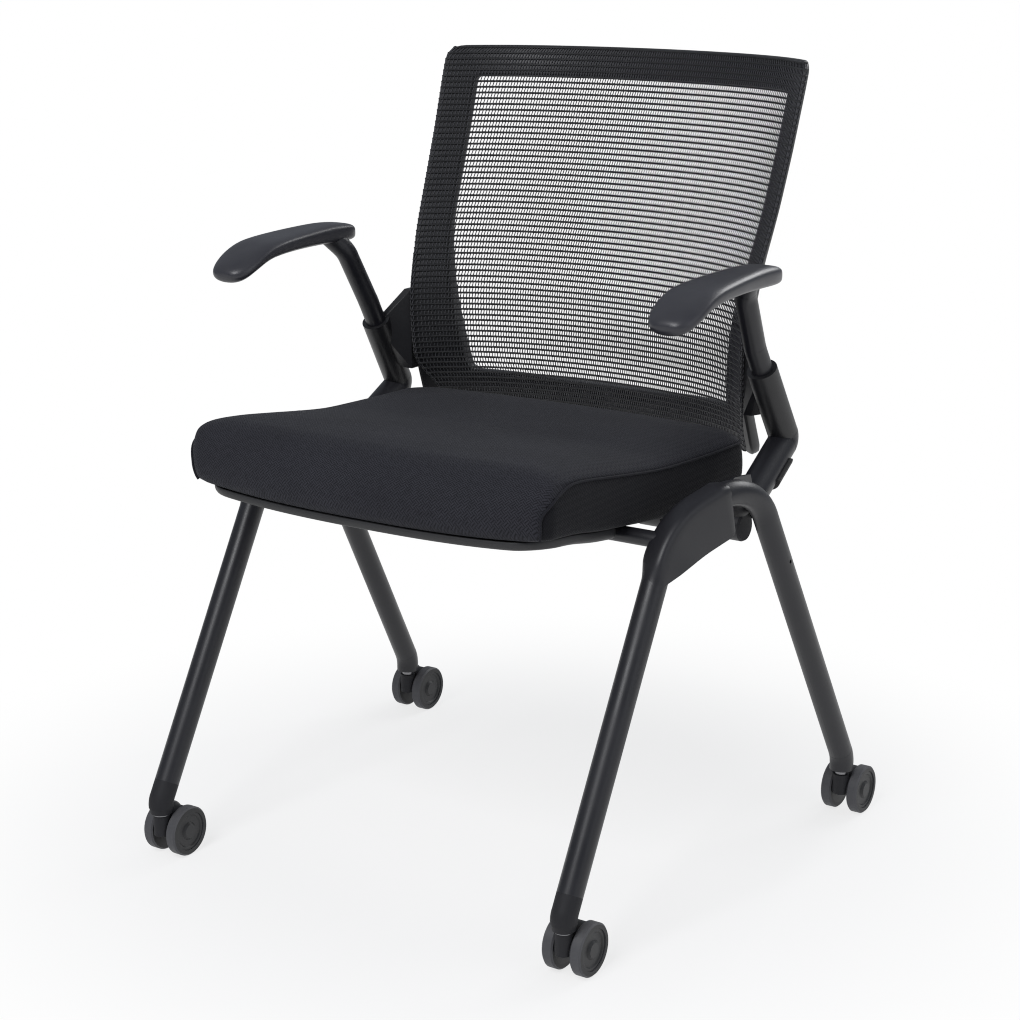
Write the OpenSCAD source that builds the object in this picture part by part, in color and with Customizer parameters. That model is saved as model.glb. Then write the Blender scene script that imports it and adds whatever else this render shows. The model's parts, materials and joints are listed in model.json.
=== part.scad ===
// Nesting chair on four twin-wheel casters: a bent tube frame, a seat that tips up,
// a curved net back and fixed arms. Sizes are in millimetres, +Z is up, +X is the sitter's
// left and -Y is the front. The origin lies on the floor, in the middle of the chair.

/* [Frame tubes] */
// Outside diameter of the leg and rail tube
leg_d = 25.4; // [22:0.1:28]
// Wall of the leg and rail tube
leg_wall = 1.6; // [1.2:0.1:2.5]
// Distance between the two front caster stems
front_track = 491.2; // [470:0.1:500]
// Distance between the two rear caster stems
rear_track = 579.2; // [560:0.1:600]
// Distance from the front stems back to the rear stems
stem_base = 490.6; // [470:0.1:520]
// Half distance between the two rails at the front bends
shoulder_x = 244.3; // [238:0.1:250]
// Front bends: distance behind the front stems
shoulder_back = 183.9; // [175:0.1:195]
// Front bends: height of the corner of the tube's axis
shoulder_z = 388.2; // [380:0.1:396]
// Bend radius at the front bends
shoulder_bend_r = 90; // [70:1:100]
// Half distance between the two rails at the crests
crest_x = 276; // [270:0.1:282]
// Crests: distance behind the front stems
crest_back = 289.1; // [280:0.1:296]
// Crests: height of the corner of the tube's axis
crest_z = 420.1; // [414:0.1:428]
// Bend radius at the crests
crest_bend_r = 66; // [50:1:72]
// Length of front leg tube between its foot and the seam under the rail
front_leg_length = 293; // [270:1:300]
// Depth that the rail tube's reduced end reaches into the front leg
spigot_length = 40; // [25:1:60]
// Length of the thicker wall above the seam
swage_length = 8; // [5:1:15]
// Diameter of the small hole in each rear leg
drain_d = 4; // [3:0.5:6]
// Height of the small hole in each rear leg
drain_z = 322.7; // [300:0.1:340]

/* [Feet] */
// Height of the kink from the sloping front leg to its vertical stem
front_kink_z = 62; // [60:0.5:70]
// Height of the kink from the sloping rear leg to its vertical stem
rear_kink_z = 68.3; // [66:0.1:76]
// Bend radius of the front foot's kink
front_kink_r = 16; // [14:1:18]
// Bend radius of the rear leg's kink
rear_kink_r = 30; // [24:1:32]
// Height of the underside of the front feet
front_foot_z = 49.4; // [49:0.1:51]
// Height of the underside of the rear legs
rear_foot_z = 53; // [52:0.1:54]
// Sloping length of the front foot above its kink
foot_neck = 20.5; // [16:0.5:26]
// Diameter of the front foot at its underside
foot_tip_d = 22; // [20:0.1:22.4]
// Straight length of the front foot below its kink
foot_collar = 2; // [1:0.5:4]
// Depth of each foot's plug inside its tube
plug_depth = 18; // [12:1:30]

/* [Casters] */
// Wheel diameter
wheel_d = 52; // [48:0.5:54]
// Width of one wheel
wheel_w = 12; // [10:0.1:13]
// Distance from the caster's middle to a wheel's inner face
wheel_inset = 9.1; // [9:0.1:11]
// Distance from the stem back to the axle
trail = 20; // [18:0.5:24]
// Diameter of the tyre's seat on the disc
disc_d = 41; // [38:0.5:44]
// Bevel of the tyre's edges
tyre_bevel = 1.6; // [0.8:0.1:2.5]
// Diameter of the wheel's round cap
cap_d = 17; // [12:0.5:22]
// Recess of the disc's face behind the tyre
disc_recess = 1.2; // [0.6:0.1:2.5]
// Diameter of the axle
axle_d = 6; // [5:0.5:8]
// Diameter of the stem in its socket
stem_d = 11; // [10:0.5:11]
// Length of the stem above the foot's underside
stem_reach = 18; // [14:1:18]
// Length of the stem inside the hood
stem_drop = 20; // [14:1:20]
// Diameter of the stem's bright collar
collar_d = 18; // [15:0.5:19]
// Thickness of the stem's bright collar
collar_t = 1.4; // [1:0.1:1.4]
// Outer radius of the hood round the axle
hood_r = 23.5; // [20:0.5:24]
// Radius of the hood's hub round the axle
hood_hub_r = 10; // [8:0.5:12]

/* [Cross members and pivot] */
// Diameter of the front cross tube
cross_d = 16; // [14:0.1:19]
// Front cross tube: distance behind the front stems
cross_back = 175.4; // [172:0.1:180]
// Height of the front cross tube's axis
cross_z = 377; // [374:0.1:379]
// Diameter of the pivot tube
pivot_d = 22; // [20:0.1:24]
// Wall of the pivot tube and the cross tube
pivot_wall = 2; // [1.5:0.1:3]
// Pivot: distance behind the front stems
pivot_back = 321.4; // [318:0.1:324]
// Height of the pivot axis
pivot_z = 358; // [354:0.1:360]
// Diameter of the bosses at the ends of the pivot tube
boss_d = 30; // [28:0.1:32]
// Width of each boss
boss_w = 18; // [14:0.5:22]
// Thickness of the round cap on each boss
boss_cap_t = 2.5; // [1.5:0.1:4]

/* [Rail brackets] */
// Thickness of the pressed bracket's steel
press_t = 2; // [1.5:0.1:3]
// Depth of the bracket's lower edge below the front bend's corner
press_front_drop = 44.5; // [40:0.5:48]
// Depth of the bracket's lower edge below the rail at its rear
press_rear_drop = 40; // [36:0.5:44]
// Thickness of the sleeve round the rail
press_sleeve_t = 1.6; // [1:0.1:2.5]
// Height of the lower edge of the plate that holds the pivot
gusset_z = 366; // [362:0.5:372]

/* [Uprights and arms] */
// Outside diameter of the upright
upright_d = 31; // [29:0.1:32]
// Wall of the upright
upright_wall = 2; // [1.5:0.1:3]
// Half distance between the uprights at their lower ends
upright_foot_x = 248.3; // [246:0.1:250]
// Lower ends: distance behind the front stems
upright_foot_back = 318; // [316:0.1:322]
// Height of the lower ends of the uprights' axes
upright_foot_z = 370.6; // [368:0.1:373]
// Half distance between the uprights at their elbows
elbow_x = 243.7; // [241:0.1:246]
// Elbows: distance behind the front stems
elbow_back = 420.4; // [412:0.1:426]
// Height of the corner of the elbow's axis
elbow_z = 427; // [422:0.1:432]
// Bend radius of the elbow
elbow_bend_r = 8.5; // [6:0.5:9]
// Forward lean of the sleeve and the arm tube, in degrees
arm_lean = 31.1; // [28:0.1:34]
// Inward lean of the sleeve and the arm tube, in degrees
arm_toe = 2.6; // [0:0.1:4]
// Height of the seam between upright and sleeve
sleeve_foot_z = 435; // [433:0.5:440]
// Height of the sleeve's upper rim
sleeve_rim_z = 507; // [495:0.5:515]
// Outside diameter of the arm tube
arm_d = 22.3; // [20:0.1:24]
// Height where the arm tube turns upwards
arm_bend_z = 530; // [524:0.5:540]
// Bend radius where the arm tube turns upwards
arm_bend_r = 60; // [40:1:70]
// Half distance between the arm tubes where they turn forwards
arm_knee_x = 243.5; // [241:0.5:250]
// Turn forwards: distance behind the front stems
arm_knee_back = 325; // [322:0.5:334]
// Height where the arm tube turns forwards
arm_knee_z = 590; // [584:0.5:594]
// Bend radius where the arm tube turns forwards
arm_knee_r = 34; // [28:1:40]
// Half distance between the arm tubes at the pads
arm_top_x = 257; // [250:0.5:259]
// Arm tube's top: distance behind the front stems
arm_top_back = 306; // [296:0.5:314]
// Depth of the arm tube in the sleeve
arm_seat_depth = 55; // [40:1:60]

/* [Arm pads] */
// Half distance between the middles of the two pads
pad_x = 259; // [252:0.5:266]
// Length of the pad
pad_length = 203; // [186:1:210]
// Width of the pad at its widest
pad_w = 54; // [46:0.5:60]
// Thickness of the pad
pad_t = 28; // [24:0.5:32]
// Height of the pad's top
pad_top_z = 626; // [620:0.5:632]
// Pad's front tip: distance behind the front stems
pad_back = 140; // [136:0.5:150]
// Fall of the pad towards its outer side, in degrees
pad_roll = 6.5; // [0:0.5:10]

/* [Back] */
// Half width of the back at its widest
back_half_w = 221; // [214:0.5:223]
// Height of the back's lower edge
back_foot_z = 401; // [399:0.5:406]
// Height of the back's upper corners
back_top_z = 800.5; // [780:0.5:815]
// Rise of the middle of the upper edge above the corners
back_crown = 0.5; // [0:0.5:8]
// Back's front edge at the lumbar: distance behind the front stems
lumbar_back = 391.4; // [390:0.1:396]
// Sweep of the back from the lumbar to the upper edge
back_sweep = 95; // [80:0.5:110]
// Sweep of the back from the lumbar to the lower edge
foot_sweep = 28; // [24:0.5:36]
// Hollow of the back in plan, from its side edges to its middle
back_hollow = 78; // [50:0.5:90]
// Share of the hollow that is evenly round, the rest lies near the side edges
round_share = 0.67; // [0.5:0.01:1]
// Depth of the frame's upper part, front to rear
back_frame_depth = 13; // [11:0.5:16]
// Depth of the frame's lower part, front to rear
back_foot_depth = 22; // [18:0.5:26]
// Width of the frame's side rails at the top
stile_top_w = 26.5; // [20:0.5:32]
// Width of the frame's side rails at the bottom
stile_foot_w = 44; // [36:0.5:50]
// Margin of the net inside the frame's outline
net_margin = 2; // [1:0.5:4]
// Width of the frame's upper rail
top_rail_w = 31; // [26:0.5:38]
// Width of the frame's lower rail
foot_rail_w = 55; // [48:0.5:60]
// Corner radius of the back
back_corner_r = 12; // [8:0.5:20]
// Corner radius of the opening
opening_corner_r = 8; // [4:0.5:14]
// Thickness of the stretched net
net_t = 1.6; // [1:0.1:2]
// Gap between the net and the front of its frame
net_gap = 0.6; // [0.5:0.1:1]
// Rows of gaps in the net
net_rows = 42; // [30:1:48]
// Columns of gaps in the net
net_columns = 6; // [4:1:6]
// Height of one dark thread row as a part of the row's pitch
thread_share = 0.45; // [0.3:0.05:0.6]
// Width of one upright thread
thread_w = 2.4; // [1.5:0.1:4]

/* [Seat] */
// Half width of the seat
seat_half_w = 210; // [200:0.5:212]
// Seat's front: distance behind the front stems
seat_front_back = 19.5; // [16:0.5:40]
// Seat's rear corners: distance behind the front stems
seat_rear_back = 404; // [396:0.5:405]
// Bulge of the seat's front edge in plan
seat_front_bow = 9; // [0:0.5:16]
// Bulge of the seat's rear edge in plan
seat_rear_bow = 16; // [0:0.5:22]
// Radius of the seat's corners in plan
seat_corner_r = 18; // [14:1:30]
// Height of the board's underside above the cross tube's axis
board_rise = 10.4; // [10.3:0.1:12]
// Slope of the board towards the rear, in degrees
board_slope = 5.2; // [4:0.1:5.4]
// Thickness of the board
board_t = 10; // [8:0.5:12]
// Inset of the board from the cushion's side
board_inset = 22; // [18:0.5:40]
// Height of the cushion's top at the front
cushion_front_z = 465; // [455:0.5:475]
// Height of the cushion's top at the rear
cushion_rear_z = 438; // [434:0.5:444]
// Height of the cushion's lower edge at the front
skirt_front_z = 396; // [394:0.5:400]
// Height of the cushion's lower edge at the rear
skirt_rear_z = 372; // [371:0.5:376]
// Rise of the cushion's lower edge at the front corners
skirt_corner_rise = 8; // [0:0.5:12]
// Height of the front face of the front pan below the cushion's edge
pan_drop = 9; // [6:0.5:12]
// Inset of the pan from the cushion's side
pan_inset = 9; // [6:0.5:14]
// Distance of the hinges from the chair's middle
hinge_x = 150; // [120:1:170]
// Width of each hinge
hinge_w = 28; // [20:1:40]

/* [Fasteners] */
// Diameter of the screws' heads
screw_head_d = 9; // [8:0.5:11]
// Diameter of the screws' shanks
screw_d = 5; // [4:0.5:6]
// Height of the screws' heads
screw_head_h = 2.6; // [2:0.1:4]

/* [Hidden] */
$fn = 48;

// Clearances and overruns
run_gap = 0.05;   // radial running gap of pins and shafts
slip_gap = 0.1;   // radial gap of plugs and spigots
seat_gap = 0.3;   // gap between pieces that lie against each other
over = 1;         // overrun of cuts
bend_lap = 0.3;   // reach of a straight run into its bend
bend_swell = 0.1; // extra radius of a bend
tight_lap = 2;    // the same reach where a bend is tighter than its tube
tight_core = 1.8; // radius round the centre of such a bend that its runs fill

// Places along the chair, from the front stems backwards
wheel_r = wheel_d / 2;
leg_r = leg_d / 2;
back_reach = lumbar_back + back_sweep + back_hollow + back_frame_depth;
front_y = -(max(stem_base + trail + wheel_r, back_reach) - leg_r) / 2;
rear_y = front_y + stem_base;
pivot_y = front_y + pivot_back;
cross_y = front_y + cross_back;
pivot_r = pivot_d / 2;

// Corner points of the tubes' axes on the sitter's left side
front_kink = [front_track / 2, front_y, front_kink_z];
shoulder = [shoulder_x, front_y + shoulder_back, shoulder_z];
crest = [crest_x, front_y + crest_back, crest_z];
rear_kink = [rear_track / 2, rear_y, rear_kink_z];
rear_end = [rear_track / 2, rear_y, rear_foot_z];
leg_dir = unit(shoulder - front_kink);
leg_foot = front_kink + leg_dir * foot_neck;
leg_seam = leg_foot + leg_dir * front_leg_length;
upright_foot = [upright_foot_x, front_y + upright_foot_back, upright_foot_z];
elbow = [elbow_x, front_y + elbow_back, elbow_z];
arm_dir = unit([-tan(arm_toe), -tan(arm_lean), 1]);
sleeve_foot = elbow + arm_dir * (sleeve_foot_z - elbow_z) / arm_dir.z;
elbow_out = elbow_bend_r * tan(turn(upright_foot, elbow, elbow + arm_dir) / 2);
sleeve_start = elbow + arm_dir * max(elbow_out, (sleeve_foot_z - elbow_z) / arm_dir.z);
sleeve_rim = elbow + arm_dir * (sleeve_rim_z - elbow_z) / arm_dir.z;
arm_foot = sleeve_rim - arm_dir * arm_seat_depth;
arm_corner = elbow + arm_dir * (arm_bend_z - elbow_z) / arm_dir.z;
arm_knee = [arm_knee_x, front_y + arm_knee_back, arm_knee_z];
arm_top = [arm_top_x, front_y + arm_top_back, pad_top_z - pad_t / 2];

function unit(v) = v / norm(v);
function turn(a, b, c) = acos(min(1, unit(b - a) * unit(c - b)));
function mix(a, b, t) = a + (b - a) * t;
function clamp01(t) = min(1, max(0, t));
function smooth(t) = let (s = clamp01(t)) s * s * (3 - 2 * s);
// Value of a table of [place, value] pairs at a place, straight between its rows
function along(table, s) = lookup(clamp01(s), table);

// The child, made on the sitter's left, on the given side
module on_side(side) {
    if (side > 0) children();
    else mirror([1, 0, 0]) children();
}

// A rod or a cut between two points
module rod(a, b, r, r_end = undef) {
    d = b - a;
    translate(a)
        rotate([0, acos(d.z / norm(d)), atan2(d.y, d.x)])
            cylinder(h = norm(d), r1 = r, r2 = is_undef(r_end) ? r : r_end);
}

// The bend of a rod at corner b, between the corners a and c
module elbow_bend(a, b, c, bend_r, r) {
    d0 = unit(b - a);
    angle = turn(a, b, c);
    d1 = unit(c - b);
    inward = (d1 - d0 * cos(angle)) / sin(angle);
    side = cross(d0, inward);
    start = b - d0 * bend_r * tan(angle / 2);
    centre = start + inward * bend_r;
    multmatrix([
        [-inward.x, d0.x, side.x, centre.x],
        [-inward.y, d0.y, side.y, centre.y],
        [-inward.z, d0.z, side.z, centre.z],
        [0, 0, 0, 1]])
        rotate_extrude(angle = angle)
            if (bend_r > r)
                translate([bend_r, 0])
                    circle(r = r);
            else
                intersection() {
                    translate([bend_r, 0])
                        circle(r = r);
                    translate([tight_core, -r])
                        square([bend_r + r, 2 * r]);
                }
}

// A rod through a list of corners, each inner corner with its own bend radius.
// The bends are a hair fuller than the straight runs, which reach a little into them.
module bent_rod(corners, bends, r) {
    last = len(corners) - 1;
    function cut(i) = (i == 0 || i == last) ? 0
        : bends[i - 1] * tan(turn(corners[i - 1], corners[i], corners[i + 1]) / 2)
            - (bends[i - 1] > r + bend_swell ? bend_lap : tight_lap);
    for (i = [0 : last - 1]) {
        d = unit(corners[i + 1] - corners[i]);
        rod(corners[i] + d * cut(i), corners[i + 1] - d * cut(i + 1), r);
    }
    for (i = [1 : 1 : last - 1])
        elbow_bend(corners[i - 1], corners[i], corners[i + 1], bends[i - 1], r + bend_swell);
}

// A closed skin over rings of equally many points, closed by fans at both ends
module skin_over(rings) {
    count = len(rings[0]);
    last = len(rings) - 1;
    middle = function (ring) [for (k = [0 : 2]) (max([for (p = ring) p[k]]) + min([for (p = ring) p[k]])) / 2];
    points = concat([for (ring = rings) each ring], [middle(rings[0]), middle(rings[last])]);
    first_middle = (last + 1) * count;
    faces = concat(
        [for (i = [0 : last - 1], k = [0 : count - 1]) let (n = (k + 1) % count)
            each [[i * count + k, i * count + n, (i + 1) * count + n],
                  [i * count + k, (i + 1) * count + n, (i + 1) * count + k]]],
        [for (k = [0 : count - 1]) [first_middle, (k + 1) % count, k]],
        [for (k = [0 : count - 1])
            [first_middle + 1, last * count + k, last * count + (k + 1) % count]]);
    polyhedron(points = points, faces = [for (f = faces) [f[2], f[1], f[0]]], convexity = 6);
}

// Front legs

module front_leg(side) {
    color([0.09, 0.09, 0.1])
        on_side(side)
            difference() {
                rod(leg_foot, leg_seam, leg_r);
                rod(leg_foot - leg_dir * over, leg_seam + leg_dir * over, leg_r - leg_wall);
            }
}

// Rails: one tube from the seam, over both bends and down the rear leg to the caster

module rail_solid(r, start = leg_seam, end = rear_end) {
    bent_rod([start, shoulder, crest, rear_kink, end],
             [shoulder_bend_r, crest_bend_r, rear_kink_r], r);
}

module rail(side) {
    rear_dir = unit(rear_kink - crest);
    drain = crest + rear_dir * (drain_z - crest_z) / rear_dir.z;
    spigot_r = leg_r - leg_wall - slip_gap;
    swage_end = leg_seam + leg_dir * swage_length;
    color([0.09, 0.09, 0.1])
        on_side(side)
            difference() {
                union() {
                    rail_solid(leg_r);
                    rod(leg_seam - leg_dir * spigot_length, leg_seam + leg_dir * over, spigot_r);
                }
                rail_solid(leg_r - leg_wall, swage_end, rear_end - [0, 0, over]);
                rod(leg_seam - leg_dir * (spigot_length + over), swage_end + leg_dir * over,
                    spigot_r - leg_wall);
                translate(drain)
                    rotate([0, 90, 0])
                        cylinder(h = leg_d, d = drain_d);
            }
}

// Feet with the sockets of the caster stems

module front_foot(side) {
    end = [front_kink.x, front_kink.y, front_foot_z];
    kink_out = front_kink_r * tan(turn(leg_foot, front_kink, end) / 2);
    mid = front_kink - [0, 0, kink_out + foot_collar];
    color([0.12, 0.12, 0.13])
        on_side(side)
            difference() {
                union() {
                    bent_rod([leg_foot, front_kink, mid], [front_kink_r], leg_r);
                    rod(end, mid + [0, 0, bend_lap], foot_tip_d / 2, leg_r - bend_swell);
                    rod(leg_foot - leg_dir * over, leg_foot + leg_dir * plug_depth,
                        leg_r - leg_wall - slip_gap);
                }
                translate(end - [0, 0, over])
                    cylinder(h = stem_reach + 2 * over, r = stem_d / 2 + run_gap);
            }
}

module rear_plug(side) {
    rear_dir = unit(crest - rear_kink);
    straight = rear_kink_z - rear_kink_r * tan(turn(crest, rear_kink, rear_end) / 2) - rear_foot_z;
    plug_r = leg_r - leg_wall - slip_gap;
    color([0.12, 0.12, 0.13])
        on_side(side)
            translate(rear_end)
                difference() {
                    union() {
                        cylinder(h = straight, r = plug_r);
                        cylinder(h = stem_reach + over, r = stem_d / 2 + leg_wall);
                    }
                    translate([0, 0, -over])
                        cylinder(h = stem_reach + over, r = stem_d / 2 + run_gap);
                }
}

// Cross members

module cross_tube() {
    color([0.09, 0.09, 0.1])
        difference() {
            translate([-shoulder_x, cross_y, cross_z])
                rotate([0, 90, 0])
                    difference() {
                        cylinder(h = 2 * shoulder_x, d = cross_d);
                        translate([0, 0, -over])
                            cylinder(h = 2 * (shoulder_x + over), d = cross_d - 2 * pivot_wall);
                    }
            for (side = [-1, 1]) on_side(side) rail_solid(leg_r);
        }
}

boss_x = upright_foot_x - upright_d / 2;

module along_x(x, length) {
    translate([x, pivot_y, pivot_z])
        rotate([0, 90, 0])
            cylinder(h = length, r = pivot_r);
}

module pivot_tube() {
    color([0.09, 0.09, 0.1])
        translate([0, pivot_y, pivot_z])
            rotate([0, 90, 0])
                difference() {
                    union() {
                        translate([0, 0, -boss_x])
                            cylinder(h = 2 * boss_x, r = pivot_r);
                        for (x = [-boss_x - boss_w, boss_x])
                            translate([0, 0, x])
                                cylinder(h = boss_w, d = boss_d);
                    }
                    translate([0, 0, -boss_x - boss_w - over])
                        cylinder(h = 2 * (boss_x + boss_w + over), r = pivot_r - pivot_wall);
                }
}

module pivot_caps() {
    color([0.12, 0.12, 0.13])
        for (side = [-1, 1])
            on_side(side)
                translate([boss_x + boss_w, pivot_y, pivot_z])
                    rotate([0, 90, 0]) {
                        cylinder(h = boss_cap_t, d1 = boss_d, d2 = boss_d - boss_cap_t);
                        translate([0, 0, -boss_w / 2])
                            cylinder(h = boss_w / 2, r = pivot_r - pivot_wall - slip_gap);
                    }
}

// Pressed bracket: two cheeks and a saddle over the rail, in a frame that follows the rail

rail_plan = atan2(crest.x - shoulder.x, crest.y - shoulder.y);
rail_run = norm([crest.x - shoulder.x, crest.y - shoulder.y]);
rail_rise = crest_z - shoulder_z;

// Outline of a cheek in the rail's own upright plane, from the front leg backwards
nose_share = -0.11;
front_share = 0.05;
heel_share = 0.6;
rear_share = 0.67;
end_share = 0.95;
rear_step_share = 0.03;
brow_share = 0.1;
front_rise_shares = [0.25, 0.05];
front_rise = [for (share = front_rise_shares) share * -press_front_drop];
cheek = [
    [rail_run * nose_share, -press_front_drop],
    [rail_run * heel_share, rail_rise * heel_share - press_rear_drop],
    [rail_run * rear_share, rail_rise * rear_share - press_rear_drop + press_t],
    [rail_run * (rear_share - rear_step_share), rail_rise * rear_share],
    [rail_run * brow_share, front_rise[1]],
    [rail_run * front_share, front_rise[0]]];

module in_rail_plane(w) {
    translate(shoulder)
        rotate([0, 0, -rail_plan])
            translate([w, 0, 0])
                rotate([90, 0, 90])
                    children();
}

module rail_bracket(side) {
    inner = leg_r + seat_gap;
    outer = inner + press_sleeve_t;
    gusset_x = boss_x + boss_w + boss_cap_t + seat_gap;
    bends = [shoulder_bend_r, crest_bend_r];
    color([0.11, 0.11, 0.12])
        on_side(side)
            difference() {
                union() {
                    intersection() {
                        bent_rod([leg_seam, shoulder, crest, rear_kink], bends, outer);
                        in_rail_plane(-2 * outer)
                            linear_extrude(height = 4 * outer)
                                translate([rail_run * front_share, -leg_d])
                                    square([rail_run * (end_share - front_share), 3 * leg_d]);
                    }
                    for (w = [-outer, outer - press_t])
                        in_rail_plane(w)
                            linear_extrude(height = press_t)
                                polygon(cheek);
                    intersection() {
                        translate([gusset_x, front_y, 0])
                            rotate([90, 0, 90])
                                linear_extrude(height = crest_x - gusset_x)
                                    polygon([
                                        [mix(shoulder_back, crest_back, rear_share), gusset_z],
                                        [pivot_back + leg_r, gusset_z],
                                        [pivot_back - leg_r, crest_z - leg_r],
                                        [crest_back, crest_z],
                                        [mix(shoulder_back, crest_back, rear_share), crest_z - leg_d]]);
                        in_rail_plane(-4 * leg_d)
                            linear_extrude(height = 4 * leg_d + leg_r - press_t)
                                translate([0, -4 * leg_d])
                                    square([3 * rail_run, 8 * leg_d]);
                    }
                }
                bent_rod([leg_foot, shoulder, crest, rear_kink], bends, inner);
                rod(upright_foot - unit(elbow - upright_foot) * boss_d, elbow, upright_d / 2 + seat_gap);
            }
}

// Uprights, their bumpers and the sleeves with the wings that hold the back

module upright_solid(r, start = upright_foot, end = sleeve_start) {
    bent_rod([start, elbow, end], [elbow_bend_r], r);
}

module upright(side) {
    d = unit(elbow - upright_foot);
    color([0.1, 0.1, 0.11])
        on_side(side)
            difference() {
                upright_solid(upright_d / 2);
                upright_solid(upright_d / 2 - upright_wall, upright_foot - d * over,
                    sleeve_start + arm_dir * over);
                translate([upright_foot_x - upright_d, pivot_y, pivot_z])
                    rotate([0, 90, 0])
                        cylinder(h = 2 * upright_d, d = boss_d);
            }
}

module nesting_bumpers() {
    start_share = 0.5;
    length = 34;
    proud = 3.4;
    arc = 100;
    facing = -60;
    d = unit(elbow - upright_foot);
    p = mix(upright_foot, elbow, start_share);
    side_dir = unit(cross(d, [0, 0, 1]));
    up_dir = cross(side_dir, d);
    color([0.13, 0.13, 0.14])
        for (side = [-1, 1])
            on_side(side)
                multmatrix([
                    [side_dir.x, up_dir.x, d.x, p.x],
                    [side_dir.y, up_dir.y, d.y, p.y],
                    [side_dir.z, up_dir.z, d.z, p.z],
                    [0, 0, 0, 1]])
                    rotate([0, 0, facing - arc / 2])
                        rotate_extrude(angle = arc)
                            translate([upright_d / 2 + slip_gap, 0])
                                square([proud, length]);
}

module back_bracket(side) {
    low = elbow + arm_dir * (wing_low_z + wing_t - elbow_z) / arm_dir.z;
    high = sleeve_rim - arm_dir * wing_t / 2;
    tail_y = edge_y((wing_low_z + wing_high_z) / 2) + back_foot_depth - wing_t / 3;
    color([0.1, 0.1, 0.11])
        on_side(side)
            difference() {
                union() {
                    difference() {
                        rod(sleeve_start, sleeve_rim, upright_d / 2);
                        rod(upright_foot, elbow, upright_d / 2 + slip_gap);
                    }
                    hull() {
                        rod(low, high, wing_t / 2, $fn = 24);
                        translate([wing_x, tail_y - wing_tail, wing_low_z])
                            cube([wing_t, wing_tail, wing_high_z - wing_low_z]);
                    }
                }
                rod(arm_foot - arm_dir * seat_gap, arm_corner, arm_d / 2 + slip_gap);
                for (z = screw_z)
                    translate([wing_x - over, screw_y(z), z])
                        rotate([0, 90, 0]) {
                            cylinder(h = wing_t + 2 * over, d = screw_d + 2 * slip_gap);
                            translate([0, 0, wing_t + over - slip_gap])
                                cylinder(h = wing_t + screw_head_h, d = screw_head_d + 2 * seat_gap);
                        }
            }
}

module arm_tube(side) {
    top_dir = unit(arm_top - arm_knee);
    bends = [arm_bend_r, arm_knee_r];
    color([0.1, 0.1, 0.11])
        on_side(side)
            difference() {
                bent_rod([arm_foot, arm_corner, arm_knee, arm_top], bends, arm_d / 2);
                bent_rod([arm_foot - arm_dir * over, arm_corner, arm_knee, arm_top + top_dir * over],
                    bends, arm_d / 2 - pivot_wall);
            }
}

// Arm pads: sections from the drooping tip to the rear, in shares of the pad's sizes.
// Each row holds the place along the pad, its width, and how far its top and its
// underside lie below the pad's highest point.
pad_shares = [
    [0.000, 0.42, 0.98, 1.40],
    [0.010, 0.66, 0.80, 1.66],
    [0.033, 0.80, 0.63, 1.79],
    [0.060, 0.89, 0.50, 1.75],
    [0.092, 0.95, 0.38, 1.54],
    [0.152, 1.00, 0.24, 1.24],
    [0.288, 1.00, 0.10, 1.03],
    [0.400, 0.95, 0.05, 0.98],
    [0.527, 0.89, 0.02, 0.97],
    [0.650, 0.82, 0.00, 0.97],
    [0.780, 0.76, 0.01, 0.98],
    [0.880, 0.71, 0.08, 1.00],
    [0.957, 0.64, 0.22, 1.02],
    [0.988, 0.52, 0.37, 0.96],
    [1.000, 0.34, 0.52, 0.84]];

module arm_pad(side) {
    count = 20;
    top_dir = unit(arm_top - arm_knee);
    rings = [for (i = [len(pad_shares) - 1 : -1 : 0]) let (row = pad_shares[i])
        [for (k = [0 : count - 1]) let (a = 360 * k / count, c = cos(a), s = sin(a),
                out = pad_w * row[1] / 2 * sign(c) * pow(abs(c), 0.6))
            [pad_x + out,
             front_y + pad_back + pad_length * row[0],
             pad_top_z - out * tan(pad_roll) - pad_t * (row[3] + row[2]) / 2
                + pad_t * (row[3] - row[2]) / 2 * sign(s) * pow(abs(s), 0.75)]]];
    color([0.16, 0.16, 0.18])
        on_side(side)
            difference() {
                skin_over(rings);
                bent_rod([arm_corner, arm_knee, arm_top + top_dir * seat_gap], [arm_knee_r],
                    arm_d / 2 + slip_gap);
            }
}

// Back: the side edge's run in side view and its half width, in shares of the back's sizes
foot_shares = [[0.000, 1.00], [0.058, 0.71], [0.113, 0.41], [0.171, 0.14], [0.229, 0.05], [0.292, 0.00]];
sweep_shares = [[0.292, 0.00], [0.357, 0.01], [0.440, 0.115], [0.508, 0.21], [0.574, 0.335],
    [0.642, 0.458], [0.775, 0.674], [0.938, 0.905], [1.000, 1.00]];
half_shares = [[0.00, 0.943], [0.09, 0.936], [0.18, 0.933], [0.36, 0.942], [0.51, 0.965],
    [0.57, 0.975], [0.64, 0.982], [0.78, 0.991], [0.94, 1.000], [1.00, 0.999]];
lumbar_share = 0.292;

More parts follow.
